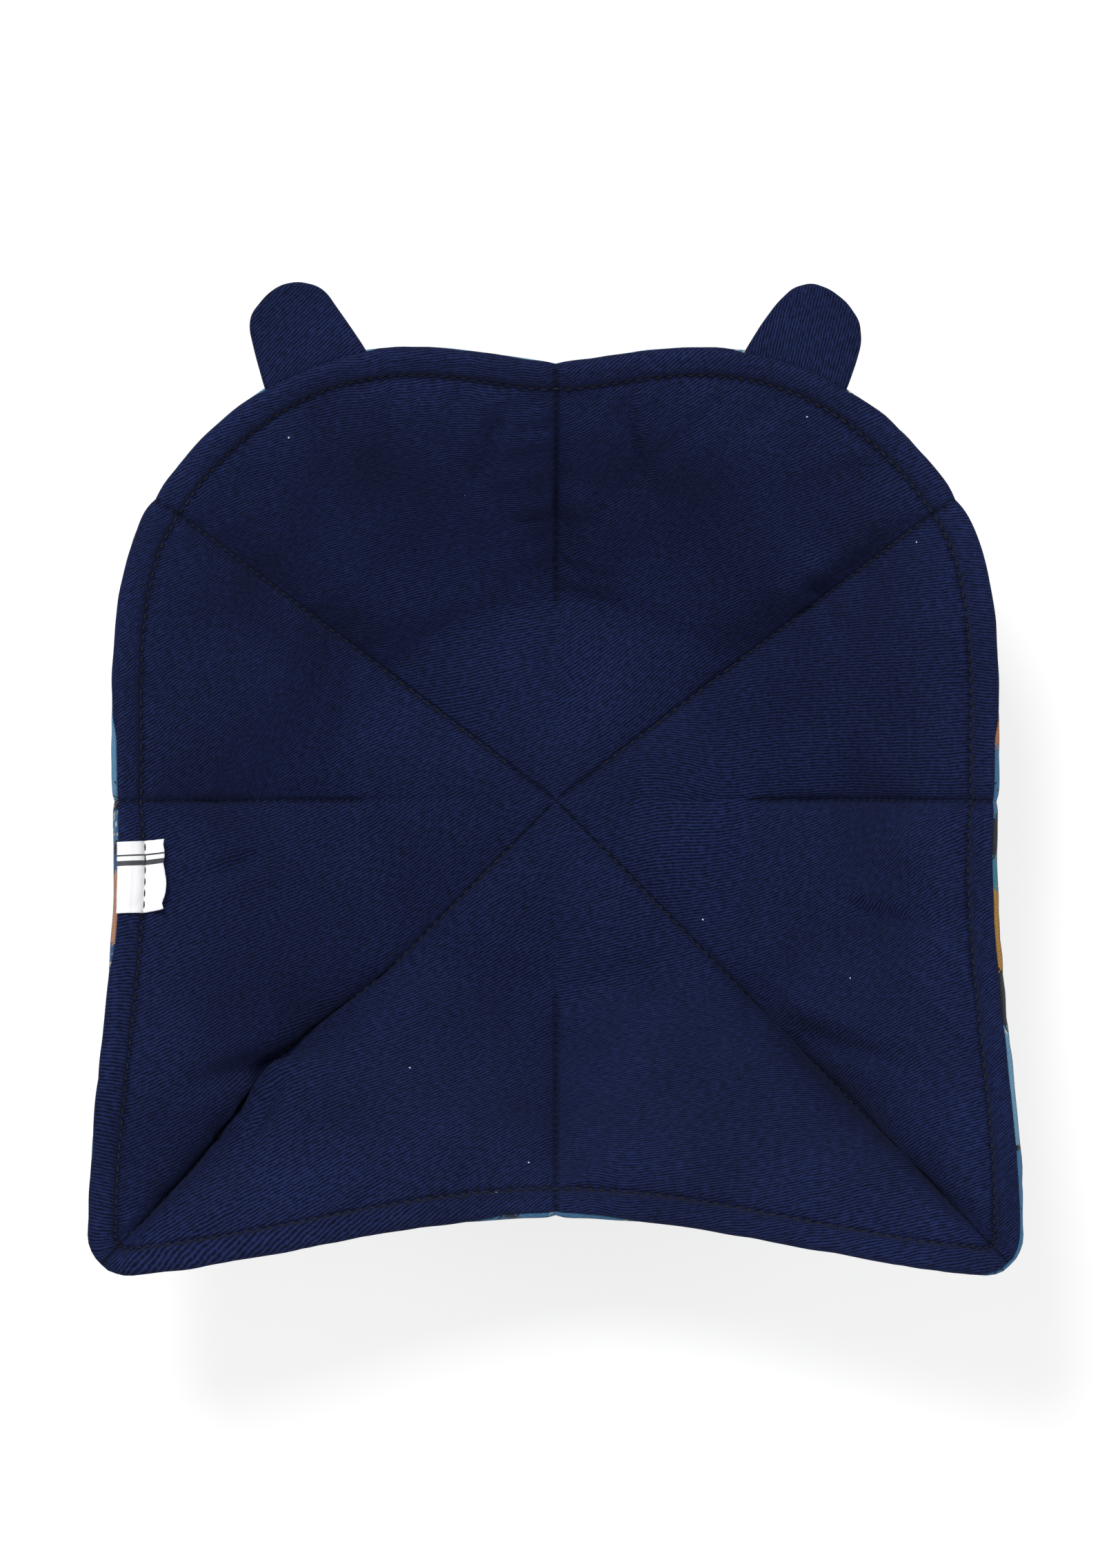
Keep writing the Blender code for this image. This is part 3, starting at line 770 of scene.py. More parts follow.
@dataclass
class Quilt:
    """The padded form, in rows: 0 to 1 over the base, 2 up the wall, 3 over the border, then round the rim."""

    rim: Rim
    base_r: float = 43.0
    hub_r: float = 12.5
    hub_fade: float = 7.0
    base_half_t: float = 3.6
    wall_half_t: float = 4.5
    stitched_half_t: float = 1.85
    least_half_t: float = 1.15
    border_w: float = 5.4
    puff_power: float = 0.85
    puff_reach: float = 13.0
    stitch_reach: float = 12.0
    seam_sink: float = 1.5
    sink_reach: float = 7.0
    base_to_wall: float = 0.3
    ear_half_t: float = 0.75
    turned_in: float = 1.3
    # The front left quilting line is drawn a little aside at this place on the wall.
    drawn_place: tuple[float, float] = (-64.0, -62.0)
    drawn_by: tuple[float, float] = (-3.0, 3.0)
    drawn_reach: float = 22.0
    probe_s: float = 0.5
    probe_w: float = 0.004
    creases: Creases = Creases()
    folds: tuple[Fold, ...] = (
        Fold((-64.0, -60.0), (-93.0, -67.0), 3.4, 6.0),
        Fold((-66.0, -70.5), (-71.5, -85.0), 1.5, 3.0),
        Fold((-76.0, -15.0), (-95.0, -21.0), 2.0, 4.0),
        Fold((64.0, 49.5), (88.0, 67.0), 2.2, 5.5),
        Fold((62.0, -56.0), (90.0, -63.0), 2.2, 5.5),
        Fold((17.0, 91.0), (24.0, 72.0), 1.8, 4.0),
        Fold((-14.0, 91.0), (-21.0, 73.0), 1.6, 4.0),
        Fold((76.0, -27.0), (95.0, -30.0), 1.6, 4.5),
    )

    def stitch_line(self, s: np.ndarray) -> np.ndarray:
        """The row of stitches inside the border.

        Args:
            s: distances along the rim.

        Returns:
            Points in millimetres.
        """
        slope = np.radians(self.rim.by_seam(s, self.rim.slopes))
        run = self.border_w - self.rim.roll_r
        inward = np.concatenate([-self.rim.outward(s) * run, (-np.tan(slope) * run)[..., None]], axis=-1)
        return self.rim.centre(s) + inward

    def middle(self, s: np.ndarray, w: np.ndarray) -> np.ndarray:
        """The surface midway through the padding.

        Args:
            s: distances along the rim.
            w: rows, up to 3.

        Returns:
            Points in millimetres.
        """
        s, w = np.broadcast_arrays(np.asarray(s, dtype=float), np.asarray(w, dtype=float))
        stitch = self.stitch_line(s)
        centre = self.rim.centre(s)
        radius = np.linalg.norm(stitch[..., :2], axis=-1)
        radial = stitch[..., :2] / radius[..., None]
        level = np.zeros_like(radius)[..., None]
        foot = np.concatenate([radial * self.base_r, level + self.base_half_t], axis=-1)
        run = (radius - self.base_r)[..., None]
        slope = np.tan(np.radians(self.rim.by_seam(s, self.rim.slopes)))
        facing = np.sum(radial * self.rim.outward(s), axis=-1)
        leave = np.concatenate([radial * run, level], axis=-1)
        arrive = np.concatenate([radial, (slope * facing)[..., None]], axis=-1) * run
        t = np.clip(w - 1.0, 0.0, 1.0)[..., None]
        wall = (
            foot * (2 * t**3 - 3 * t**2 + 1)
            + stitch * (3 * t**2 - 2 * t**3)
            + leave * (t**3 - 2 * t**2 + t)
            + arrive * (t**3 - t**2)
        )
        away = np.linalg.norm(wall[..., :2] - np.array(self.drawn_place), axis=-1, keepdims=True)
        free = np.clip(np.minimum(t, 1.0 - t) / 0.3, 0.0, 1.0)
        wall[..., :2] += np.array(self.drawn_by) * bell(away, self.drawn_reach) * free * free * (3 - 2 * free)
        base = foot * np.clip(w, 0.0, 1.0)[..., None]
        base[..., 2] = self.base_half_t
        border = stitch + (centre - stitch) * (w[..., None] - 2.0)
        w = w[..., None]
        return np.where(w <= 1.0, base, np.where(w <= 2.0, wall, border))

    def upward(self, s: np.ndarray, w: np.ndarray) -> np.ndarray:
        """The unit direction square to the middle surface, towards the inside of the dish.

        Args:
            s: distances along the rim.
            w: rows, up to 3.

        Returns:
            One direction each.
        """
        around = self.middle(s + self.probe_s, w) - self.middle(s - self.probe_s, w)
        out = self.middle(s, np.minimum(w + self.probe_w, 3.0)) - self.middle(s, w - self.probe_w)
        square = np.cross(around, out)
        square = square / np.maximum(np.linalg.norm(square, axis=-1, keepdims=True), 1e-9)
        return np.where((w <= 1.0)[..., None], np.array([0.0, 0.0, 1.0]), square)

    def seam_gap(self, s: np.ndarray, w: np.ndarray) -> np.ndarray:
        """The distance over the cloth to the nearest seam.

        Args:
            s: distances along the rim.
            w: rows, up to 3.

        Returns:
            One distance each, in millimetres.
        """
        at_row = np.linalg.norm(self.middle(s, w)[..., :2], axis=-1)
        at_rim = np.linalg.norm(self.rim.centre(s)[..., :2], axis=-1)
        return self.rim.seam_distance(s) * at_row / at_rim

    def dart_end(self, s: np.ndarray, w: np.ndarray) -> np.ndarray:
        """Nothing on a seam, and a growing distance below the tip of each dart."""
        is_dart = np.mod(np.rint(self.rim.seam_count(s)), 2) == 0
        return np.where(is_dart, np.clip((1.12 - w) * 12.0, 0.0, 9.0), 0.0)

    def stitch_gap(self, s: np.ndarray, w: np.ndarray) -> np.ndarray:
        """The distance over the cloth to the row of stitches along the rim.

        Args:
            s: distances along the rim.
            w: rows, up to 3.

        Returns:
            One distance each, in millimetres.
        """
        stitch = self.stitch_line(s)
        wall_run = np.linalg.norm(stitch[..., :2], axis=-1) - self.base_r
        slope = np.cos(np.radians(self.rim.by_seam(s, self.rim.slopes)))
        border_run = (self.border_w - self.rim.roll_r) / slope
        return np.where(w < 2.0, (2.0 - w) * wall_run / slope, (w - 2.0) * border_run)

    def puffed(self, distance: np.ndarray, reach: float) -> np.ndarray:
        """A puff's share of its full height at a distance from its seam."""
        return np.sin(np.pi / 2 * np.clip(distance / reach, 0.0, 1.0)) ** self.puff_power

    def half_thickness(self, s: np.ndarray, w: np.ndarray) -> np.ndarray:
        """Half of the quilt's thickness: puffs between seams, grooves along them.

        Args:
            s: distances along the rim.
            w: rows, up to 3.

        Returns:
            Heights in millimetres.
        """
        radius = self.base_r * np.clip(w, 0.0, 1.0)
        puff = self.puffed(self.seam_gap(s, w), self.puff_reach)
        pressed = np.clip((self.hub_r + self.hub_fade - radius) / self.hub_fade, 0.0, 1.0)
        puff = np.maximum(puff, pressed)
        fuller = np.clip((w - 1.0) / self.base_to_wall, 0.0, 1.0)
        full = self.base_half_t + (self.wall_half_t - self.base_half_t) * fuller
        wall_run = np.linalg.norm(self.stitch_line(s)[..., :2], axis=-1) - self.base_r
        puff = puff * self.puffed((2.0 - np.minimum(w, 2.0)) * wall_run, self.stitch_reach)
        wall = self.stitched_half_t + (full - self.stitched_half_t) * puff
        over = np.sin(np.pi / 2 * np.clip(w - 2.0, 0.0, 1.0))
        border = self.stitched_half_t + (self.rim.roll(s) - self.stitched_half_t) * over
        return np.where(w <= 2.0, wall, border)

    def sink(self, s: np.ndarray, w: np.ndarray) -> np.ndarray:
        """How far a seam draws the wall outwards."""
        up_wall = np.sin(np.pi * np.clip(w - 1.0, 0.0, 1.0))
        return self.seam_sink * up_wall * bell(self.seam_gap(s, w), self.sink_reach)

    def ring(self, s: np.ndarray, size: float, seed: float) -> np.ndarray:
        """Noise that changes only along the rim and closes on itself.

        Args:
            s: distances along the rim.
            size: how large its lumps are, in millimetres.
            seed: shifts the pattern.

        Returns:
            Values from about -1 to 1.
        """
        turn = 2 * np.pi * s / self.rim.length
        radius = self.rim.length / (2 * np.pi)
        places = np.stack([radius * np.cos(turn), radius * np.sin(turn), np.zeros_like(turn)], axis=-1)
        return noise_at(places, size, seed)

    def relief(self, s: np.ndarray, w: np.ndarray, side: Side) -> np.ndarray:
        """The creases and puckers of one face, added to its height.

        Args:
            s: distances along the rim.
            w: rows, up to 3.
            side: which face.

        Returns:
            Heights in millimetres.
        """
        seed = 3.7 if side == Side.LINING else 11.9
        c = self.creases
        place = self.middle(s, w)
        stitch = self.stitch_gap(s, w)
        seam = self.seam_gap(s, w)
        on_wall = np.clip((w - 1.0) / 0.25, 0.0, 1.0) * np.clip((2.0 - w) / 0.12, 0.0, 1.0)
        broad = c.broad * noise_at(place, c.broad_size, seed) * on_wall
        pulled = np.abs(self.ring(s + 0.6 * stitch, c.pucker_size, seed)) * 2.2 - 0.45
        wall_pull = c.pucker * np.exp(-stitch / c.pucker_reach)
        border_pull = c.border_pucker * np.exp(-stitch / c.border_reach)
        puckers = pulled * np.where(w < 2.0, wall_pull, border_pull) * (1.0 - bell(stitch, 1.6))
        number = np.rint(self.rim.seam_count(s))
        reach = np.linalg.norm(place, axis=-1)
        along = np.stack([reach, number * 37.0, np.zeros_like(reach)], axis=-1)
        drawn = np.abs(noise_at(along, c.gather_size, seed)) * 2.2 - 0.4
        off_base = np.clip((w - 0.9) / 0.3, 0.0, 1.0)
        gathers = c.gather * drawn * np.exp(-seam / c.gather_reach) * (1.0 - bell(seam, 1.4)) * off_base
        gathers = gathers * np.where(w < 2.0, 1.0, np.exp(-stitch / 2.0))
        is_dart = np.mod(number, 2) == 0
        groove = np.where(is_dart, c.dart_groove * bell(seam, 0.8), c.line_groove * bell(seam, 0.7))
        start = np.where(is_dart, 1.0, 0.3)
        groove = groove * np.clip((w - start) / 0.3, 0.0, 1.0) * np.where(w > 2.0, 0.55, 1.0)
        row = c.row_groove * bell(stitch, 1.0)
        crown = c.crown * np.sin(np.pi * np.clip(w - 2.0, 0.0, 1.0))
        lumps = c.lump * self.ring(s, c.lump_size, seed + 5.0) * np.clip(w - 2.0, 0.0, 1.0)
        fine = c.fine * noise_at(place, c.fine_size, seed + 2.0) * np.clip((w - 0.6) / 0.4, 0.0, 1.0)
        total = broad + puckers + gathers - groove - row + crown + lumps + fine
        if side == Side.LINING:
            for fold in self.folds:
                total = total + self.fold_height(fold, place) * (1.0 - bell(seam, 2.0))
        return total

    def fold_height(self, fold: Fold, place: np.ndarray) -> np.ndarray:
        """A fold's depth below the surface, and the lip it raises beside it.

        Args:
            fold: the fold.
            place: points of the middle surface.

        Returns:
            Heights in millimetres.
        """
        start = np.array(fold.start)
        run = np.array(fold.end) - start
        length = float(np.linalg.norm(run))
        run = run / length
        away = place[..., :2] - start
        along = np.clip(away @ run / length, 0.0, 1.0)
        beside = away @ np.array([-run[1], run[0]])
        beyond = np.linalg.norm(away - (along * length)[..., None] * run, axis=-1) - np.abs(beside)
        fade = np.cos(np.pi / 2 * along) * bell(beyond, fold.width * 0.5)
        valley = -fold.depth * bell(beside, fold.width * 0.45)
        lip = 0.45 * fold.depth * bell(beside - fold.width, fold.width * 0.7)
        return (valley + lip) * fade

    def meeting_gap(self, s: np.ndarray) -> np.ndarray:
        """Half of the opening between lining and cover, wider where an ear stands in it."""
        share = 1.0 - np.clip(self.rim.past_ear(s) / 2.5, 0.0, 1.0)
        return 0.08 + (self.ear_half_t - 0.08) * share * share * (3 - 2 * share)

    def face(
        self, s: np.ndarray, w: np.ndarray, side: Side, lift: float | np.ndarray = 0.0, creased: bool = True
    ) -> np.ndarray:
        """A point on a visible face.

        Args:
            s: distances along the rim.
            w: rows: up to 3 as in the form, to 4 round the roll, to 5 down into the seam.
            side: which face.
            lift: how far above the face.
            creased: whether the creases and puckers are on it.

        Returns:
            Points in millimetres.
        """
        flat_w = np.minimum(w, 3.0)
        height = self.half_thickness(s, flat_w)
        if creased:
            height = height + self.relief(s, flat_w, side)
        height = self.least_half_t + np.logaddexp(0.0, 4.0 * (height - self.least_half_t)) / 4.0 + lift
        raised = (side * height - self.sink(s, flat_w))[..., None]
        square = self.upward(s, flat_w)
        centre = self.middle(s, flat_w)
        on_form = centre + square * raised
        out = centre - self.middle(s, flat_w - self.probe_w)
        out = out - square * np.sum(out * square, axis=-1, keepdims=True)
        out = out / np.maximum(np.linalg.norm(out, axis=-1, keepdims=True), 1e-9)
        meeting = self.rim.meeting_angle(s)
        turn_in = np.clip(w - 4.0, 0.0, 1.0) * self.turned_in
        shoulder = 0.45 * np.clip(w - 3.0, 0.0, 1.0) ** 6
        radius = height - shoulder - turn_in
        back_off = np.arcsin(np.clip(self.meeting_gap(s) / np.maximum(radius, 0.2), 0.0, 1.0))
        start = 0.0 if side == Side.LINING else np.pi
        end = meeting - side * back_off
        angle = (start + (end - start) * np.clip(w - 3.0, 0.0, 1.0))[..., None]
        on_roll = centre + radius[..., None] * (square * np.cos(angle) + out * np.sin(angle))
        return np.where((w <= 3.0)[..., None], on_form, on_roll)


def new_piece(name: str, bm: bmesh.types.BMesh, material: bpy.types.Material) -> bpy.types.Object:
    """Turns a finished bmesh into a piece that rides on the cozy.

    Args:
        name: the piece's name.
        bm: its mesh, in metres.
        material: its finish.

    Returns:
        The new object.
    """
    mesh = bpy.data.meshes.new(name)
    bm.to_mesh(mesh)
    bm.free()
    mesh.shade_smooth()
    mesh.materials.append(material)
    piece = bpy.data.objects.new(name, mesh)
    bpy.context.scene.collection.objects.link(piece)
    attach(piece, "root")
    LOG.info("%s: %d faces", name, len(mesh.polygons))
    return piece


def add_thickness(piece: bpy.types.Object, thickness: float) -> None:
    """Gives a cloth its thickness, behind its visible face.

    Args:
        piece: the cloth.
        thickness: in millimetres.
    """
    modifier = piece.modifiers.new("cloth thickness", "SOLIDIFY")
    modifier.thickness = thickness * METRE
    modifier.offset = -1.0
    modifier.use_even_offset = False
    modifier.use_rim = True


def grid_mesh(points: np.ndarray, layers: dict[str, np.ndarray]) -> bmesh.types.BMesh:
    """A grid laid over rows of points.

    Args:
        points: rows by columns of places in millimetres.
        layers: rows by columns of numbers to keep on the vertices.

    Returns:
        The mesh, in metres, with doubles merged.
    """
    rows, columns = points.shape[0] - 1, points.shape[1] - 1
    bm = bmesh.new()
    bmesh.ops.create_grid(bm, x_segments=columns, y_segments=rows, size=0.5)
    kept = {name: bm.verts.layers.float.new(name) for name in layers}
    for vertex in bm.verts:
        column = round((vertex.co.x + 0.5) * columns)
        row = round((vertex.co.y + 0.5) * rows)
        vertex.co = Vector(points[row, column]) * METRE
        for name, layer in kept.items():
            vertex[layer] = float(layers[name][row, column])
    bmesh.ops.remove_doubles(bm, verts=bm.verts, dist=1e-7)
    return bm


def kept(mesh: bpy.types.Mesh, name: str) -> np.ndarray:
    """Reads back the numbers that grid_mesh kept on the vertices.

    Args:
        mesh: the mesh.
        name: the layer's name.

    Returns:
        One number for each vertex.
    """
    values = np.empty(len(mesh.vertices), dtype=np.float32)
    mesh.attributes[name].data.foreach_get("value", values)
    return values


def corner_vertices(mesh: bpy.types.Mesh) -> np.ndarray:
    """The vertex at each corner of each face.

    Args:
        mesh: the mesh.

    Returns:
        The vertices' numbers, face after face.
    """
    corners = np.empty(len(mesh.loops), dtype=np.int32)
    mesh.loops.foreach_get("vertex_index", corners)
    return corners


def add_uv(mesh: bpy.types.Mesh, name: str, across: np.ndarray, along: np.ndarray) -> None:
    """Adds a UV map in metres.

    Args:
        mesh: the mesh.
        name: the map's name.
        across: its first number at each face corner, in millimetres.
        along: its second.
    """
    places = np.stack([across, along], axis=-1) * METRE
    mesh.uv_layers.new(name=name).data.foreach_set("uv", places.astype(np.float32).ravel())


def lay_flat(mesh: bpy.types.Mesh) -> None:
    """Gives a small cloth its UV map from the distances kept on its vertices.

    Args:
        mesh: the cloth's mesh, with its across and along.
    """
    corners = corner_vertices(mesh)
    add_uv(mesh, "flat cloth", kept(mesh, "across")[corners], kept(mesh, "along")[corners])


@dataclass(frozen=True)
class Settling:
    """Lets a cloth settle over its padding: a short simulation, held at the seams and capped."""

    frames: int = 20
    enlarged: float = 8.0
    pressure: float = 1.5
    ease: float = 0.12
    ease_reach: float = 6.0
    hold: float = 0.08
    cap: float = 1.5
    stiffness: float = 15.0
    bending: float = 2.0

    def settle(self, points: np.ndarray, sewn: np.ndarray, eased: np.ndarray, side: Side) -> np.ndarray:
        """Runs the simulation.

        Args:
            points: rows by columns of places in millimetres, the last column on top of the first.
            sewn: true where stitches hold the cloth.
            eased: the share of the extra length at each place.
            side: which face.

        Returns:
            The places that the cloth settles in.
        """
        row, column = np.mgrid[0 : points.shape[0], 0 : points.shape[1]].astype(float)
        layers = {"row": row, "column": column, "sewn": sewn.astype(float), "eased": eased}
        bm = grid_mesh(points * self.enlarged, layers)
        face_outwards(bm, side)
        mesh = bpy.data.meshes.new("settling")
        bm.to_mesh(mesh)
        bm.free()
        count = len(mesh.vertices)
        at = tuple(np.rint(kept(mesh, name)).astype(int) for name in ("row", "column"))
        is_sewn, weights = kept(mesh, "sewn") > 0.5, kept(mesh, "eased")
        cloth = bpy.data.objects.new("settling", mesh)
        bpy.context.scene.collection.objects.link(cloth)
        held = cloth.vertex_groups.new(name="held")
        held.add(list(range(count)), self.hold, "REPLACE")
        held.add(np.flatnonzero(is_sewn).tolist(), 1.0, "REPLACE")
        loose = cloth.vertex_groups.new(name="eased")
        for index, weight in enumerate(weights):
            loose.add([index], float(weight), "REPLACE")
        modifier = cloth.modifiers.new("cloth", "CLOTH")
        settings = modifier.settings
        settings.tension_stiffness = self.stiffness
        settings.compression_stiffness = self.stiffness
        settings.shear_stiffness = self.stiffness / 3
        settings.bending_stiffness = self.bending
        settings.air_damping = 3.0
        settings.vertex_group_mass = held.name
        settings.vertex_group_shrink = loose.name
        settings.shrink_max = -self.ease
        settings.use_pressure = True
        settings.uniform_pressure_force = self.pressure
        settings.effector_weights.gravity = 0.0
        modifier.collision_settings.use_collision = False
        modifier.point_cache.frame_end = self.frames
        scene = bpy.context.scene
        for frame in range(1, self.frames + 1):
            scene.frame_set(frame)
        result = cloth.evaluated_get(bpy.context.evaluated_depsgraph_get()).data
        places = np.empty(count * 3, dtype=np.float32)
        result.vertices.foreach_get("co", places)
        scene.frame_set(1)
        bpy.data.objects.remove(cloth, do_unlink=True)
        bpy.data.meshes.remove(mesh)
        settled = np.full(points.shape, np.nan)
        settled[at] = places.reshape(-1, 3) / (self.enlarged * METRE)
        settled[:, -1] = np.where(np.isnan(settled[:, -1]), settled[:, 0], settled[:, -1])
        settled[:, 0] = np.where(np.isnan(settled[:, 0]), settled[:, -1], settled[:, 0])
        settled[0] = np.nanmean(settled[0], axis=0)
        moved = settled - points
        distance = np.maximum(np.linalg.norm(moved, axis=-1, keepdims=True), 1e-6)
        return points + moved * np.tanh(distance / self.cap) * self.cap / distance


def closed(points: np.ndarray) -> np.ndarray:
    """Brings the first row of a dish to one point and its last column onto its first.

    Args:
        points: rows by columns of places, changed in place.

    Returns:
        The same points.
    """
    points[0, :, :2] = 0.0
    points[0, :, 2] = points[0, :, 2].mean()
    points[:, -1] = points[:, 0]
    return points


def rest_on_table(points: np.ndarray, lowest: float) -> None:
    """Flattens what would sink below a level, as the table flattens the cloth that lies on it.

    Args:
        points: points in millimetres, changed in place.
        lowest: the level, in millimetres above the table.
    """
    give = 0.3
    points[..., 2] = lowest + give * np.logaddexp(0.0, (points[..., 2] - lowest) / give)


def face_outwards(bm: bmesh.types.BMesh, side: Side) -> None:
    """Turns a dish's faces towards the side from which it is seen.

    Args:
        bm: the dish's mesh.
        side: which face of the quilt it is.
    """
    bm.normal_update()
    middle = min(bm.faces, key=lambda face: face.calc_center_median().xy.length)
    if middle.normal.z * side < 0:
        bmesh.ops.reverse_faces(bm, faces=bm.faces)


@dataclass
class Cloth:
    """The lining or the cover: one cloth from the middle of the base to the rim's seam."""

    quilt: Quilt
    settling: Settling
    side: Side
    name: str
    node: str
    thickness: float
    slot: str
    flat_mm: float = 254.0
    columns_per_sector: int = 54
    # From one seam to another, how many degrees the weave is turned.
    panels: tuple[tuple[int, int, float], ...] = (
        *((0, 1, -8.0), (1, 2, 17.0), (2, 4, 12.0)),
        *((4, 6, -5.0), (6, 7, 0.0), (7, 8, 12.0)),
    )
    base_mm: float = 43.0
    settled_rows: int = 65

    def rows(self) -> np.ndarray:
        """The rows of the mesh, closer where the form bends.

        Returns:
            Row numbers from 0 at the middle of the base to 5 in the seam.
        """
        base = np.linspace(0.0, 1.0, 15)
        wall = 1.0 + np.linspace(0.0, 1.0, 41)[1:] ** 0.92
        border = np.linspace(2.0, 3.0, 11)[1:]
        roll = np.linspace(3.0, 4.0, 11)[1:]
        seam = np.linspace(4.0, 5.0, 4)[1:]
        return np.concatenate([base, wall, border, roll, seam])

    def settled(self, s: np.ndarray, w: np.ndarray, to_seam: np.ndarray) -> np.ndarray:
        """Settles every second row and column of the cloth over its padding, up to the rim's roll.

        Args:
            s: distances along the rim, rows by columns.
            w: rows of the form.
            to_seam: distances over the cloth to the nearest seam.

        Returns:
            How far each point up to the roll moves.
        """
        every = (slice(None, self.settled_rows, 2), slice(None, None, 2))
        s, w, to_seam = s[every], w[every], to_seam[every]
        sewn = ((to_seam < 0.05) & (w > 0.3)) | (w > 1.999)
        eased = np.exp(-np.minimum(to_seam, self.quilt.stitch_gap(s, w)) / self.settling.ease_reach)
        smooth = closed(self.quilt.face(s, w, self.side, creased=False))
        coarse = self.settling.settle(smooth, sewn, eased, self.side) - smooth
        moved = np.zeros((2 * coarse.shape[0] - 1, 2 * coarse.shape[1] - 1, 3))
        moved[::2, ::2] = coarse
        moved[1::2, ::2] = (coarse[:-1] + coarse[1:]) / 2
        moved[:, 1::2] = (moved[:, :-2:2] + moved[:, 2::2]) / 2
        return moved

    def build(self, material: bpy.types.Material) -> bpy.types.Object:
        """Builds the cloth and puts it in its node's place.

        Args:
            material: its finish.

        Returns:
            The finished piece.
        """
        s, w = np.meshgrid(self.quilt.rim.columns(self.columns_per_sector), self.rows())
        points = closed(self.quilt.face(s, w, self.side))
        to_seam = self.quilt.seam_gap(s, np.minimum(w, 3.0)) + self.quilt.dart_end(s, w)
        points[: self.settled_rows] += self.settled(s, w, to_seam)
        points = closed(points)
        rest_on_table(points, 0.0)
        steps = np.linalg.norm(np.diff(points, axis=0), axis=-1)
        reach = np.concatenate([np.zeros((1, s.shape[1])), np.cumsum(steps, axis=0)])
        plan = np.linalg.norm(points[..., :2], axis=-1)
        tightness = plan / np.maximum(reach, 1e-6)
        rim_w = np.minimum(w, 3.0)
        past = np.where(w > 3.0, (w - 3.0) * 3.0, 0.0)
        to_stitch = self.quilt.stitch_gap(s, rim_w) * np.where(w > 2.0, -1.0, 1.0) - past
        layers = {
            "walk": s,
            "reach": reach,
            "tightness": np.clip(tightness, 0.0, 1.0),
            "to_stitch": to_stitch,
            "to_seam": to_seam,
        }
        bm = grid_mesh(points, layers)
        face_outwards(bm, self.side)
        piece = new_piece(self.name, bm, material)
        self.lay_flat(piece.data)
        add_thickness(piece, self.thickness)
        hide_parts(self.node)
        return piece

    def lay_flat(self, mesh: bpy.types.Mesh) -> None:
        """Gives each panel the UV map of its cloth laid flat, in metres, so that the weave keeps its size.

        Args:
            mesh: the cloth's mesh, with its walk, reach and tightness on the vertices.
        """
        rim = self.quilt.rim
        corners = corner_vertices(mesh)
        names = ("walk", "reach", "tightness", "to_stitch", "to_seam")
        walk, reach, tightness, to_stitch, to_seam = (kept(mesh, name)[corners].astype(float) for name in names)
        sizes = np.empty(len(mesh.polygons), dtype=np.int32)
        mesh.polygons.foreach_get("loop_total", sizes)
        face_of = np.repeat(np.arange(len(sizes)), sizes)
        starts = np.concatenate([[0], np.cumsum(sizes)[:-1]])
        known = np.where(reach > 1e-3, walk, np.nan)
        last = np.fmax.reduceat(known, starts)[face_of]
        walk = np.where((last > rim.length * 0.9) & (walk < rim.length * 0.1), walk + rim.length, walk)
        known = np.where(reach > 1e-3, walk, np.nan)
        low = np.fmin.reduceat(known, starts)[face_of]
        high = np.fmax.reduceat(known, starts)[face_of]
        place = np.interp((low + high) / 2, rim.seams, np.arange(SEAMS + 1))
        centre = np.zeros_like(place)
        twist = np.zeros_like(place)
        for first, last_seam, degrees in self.panels:
            inside = (place >= first) & (place <= last_seam)
            centre[inside] = (rim.seams[first] + rim.seams[last_seam]) / 2
            twist[inside] = math.radians(degrees)
        started = np.clip((reach / self.base_mm - 0.3) / 0.7, 0.0, 1.0)
        points = rim.centre(walk)
        middles = rim.centre(centre)
        angle = np.arctan2(points[..., 1], points[..., 0])
        panel_angle = np.arctan2(middles[..., 1], middles[..., 0])
        turn = np.mod(angle - panel_angle + np.pi, 2 * np.pi) - np.pi
        laid = panel_angle + turn * tightness + twist * started * started * (3 - 2 * started)
        add_uv(mesh, "flat cloth", reach * np.cos(laid), reach * np.sin(laid))
        add_uv(mesh, "stitch line", walk, to_stitch)
        add_uv(mesh, "seam line", reach, to_seam)
        mesh.uv_layers.active_index = 0


@dataclass
class Wadding:
    """The padding behind one cloth, from just under it to the middle of the quilt."""

    quilt: Quilt
    side: Side
    name: str
    node: str
    cloth_t: float
    clearance: float = 0.9
    core: float = 0.06
    end_row: float = 2.6
    columns_per_sector: int = 20
    row_count: int = 40

    def build(self, material: bpy.types.Material) -> bpy.types.Object:
        """Builds the wadding and puts it in its node's place.

        Args:
            material: its finish.

        Returns:
            The finished piece.
        """
        columns = self.quilt.rim.columns(self.columns_per_sector)
        s, w = np.meshgrid(columns, np.linspace(0.0, self.end_row, self.row_count))
        hollow = np.minimum(self.quilt.relief(s, w, self.side), 0.0)
        for axis in (0, 1):
            shifted = [np.roll(hollow, step, axis=axis) for step in (-1, 0, 1)]
            hollow = np.minimum.reduce(shifted)
        outer = self.quilt.half_thickness(s, w) + hollow - self.cloth_t - self.clearance
        outer = np.maximum(outer, 2 * self.core)
        shell = bmesh.new()
        for height in (outer, np.full_like(outer, self.core)):
            raised = (self.side * height - self.quilt.sink(s, w))[..., None]
            points = closed(self.quilt.middle(s, w) + self.quilt.upward(s, w) * raised)
            rest_on_table(points, self.cloth_t + self.clearance)
            layer = grid_mesh(points, {})
            mesh = bpy.data.meshes.new("wadding layer")
            layer.to_mesh(mesh)
            layer.free()
            shell.from_mesh(mesh)
            bpy.data.meshes.remove(mesh)
        rims = [edge for edge in shell.edges if edge.is_boundary]
        bmesh.ops.bridge_loops(shell, edges=rims)
        bmesh.ops.recalc_face_normals(shell, faces=shell.faces)
        piece = new_piece(self.name, shell, material)
        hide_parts(self.node)
        return piece


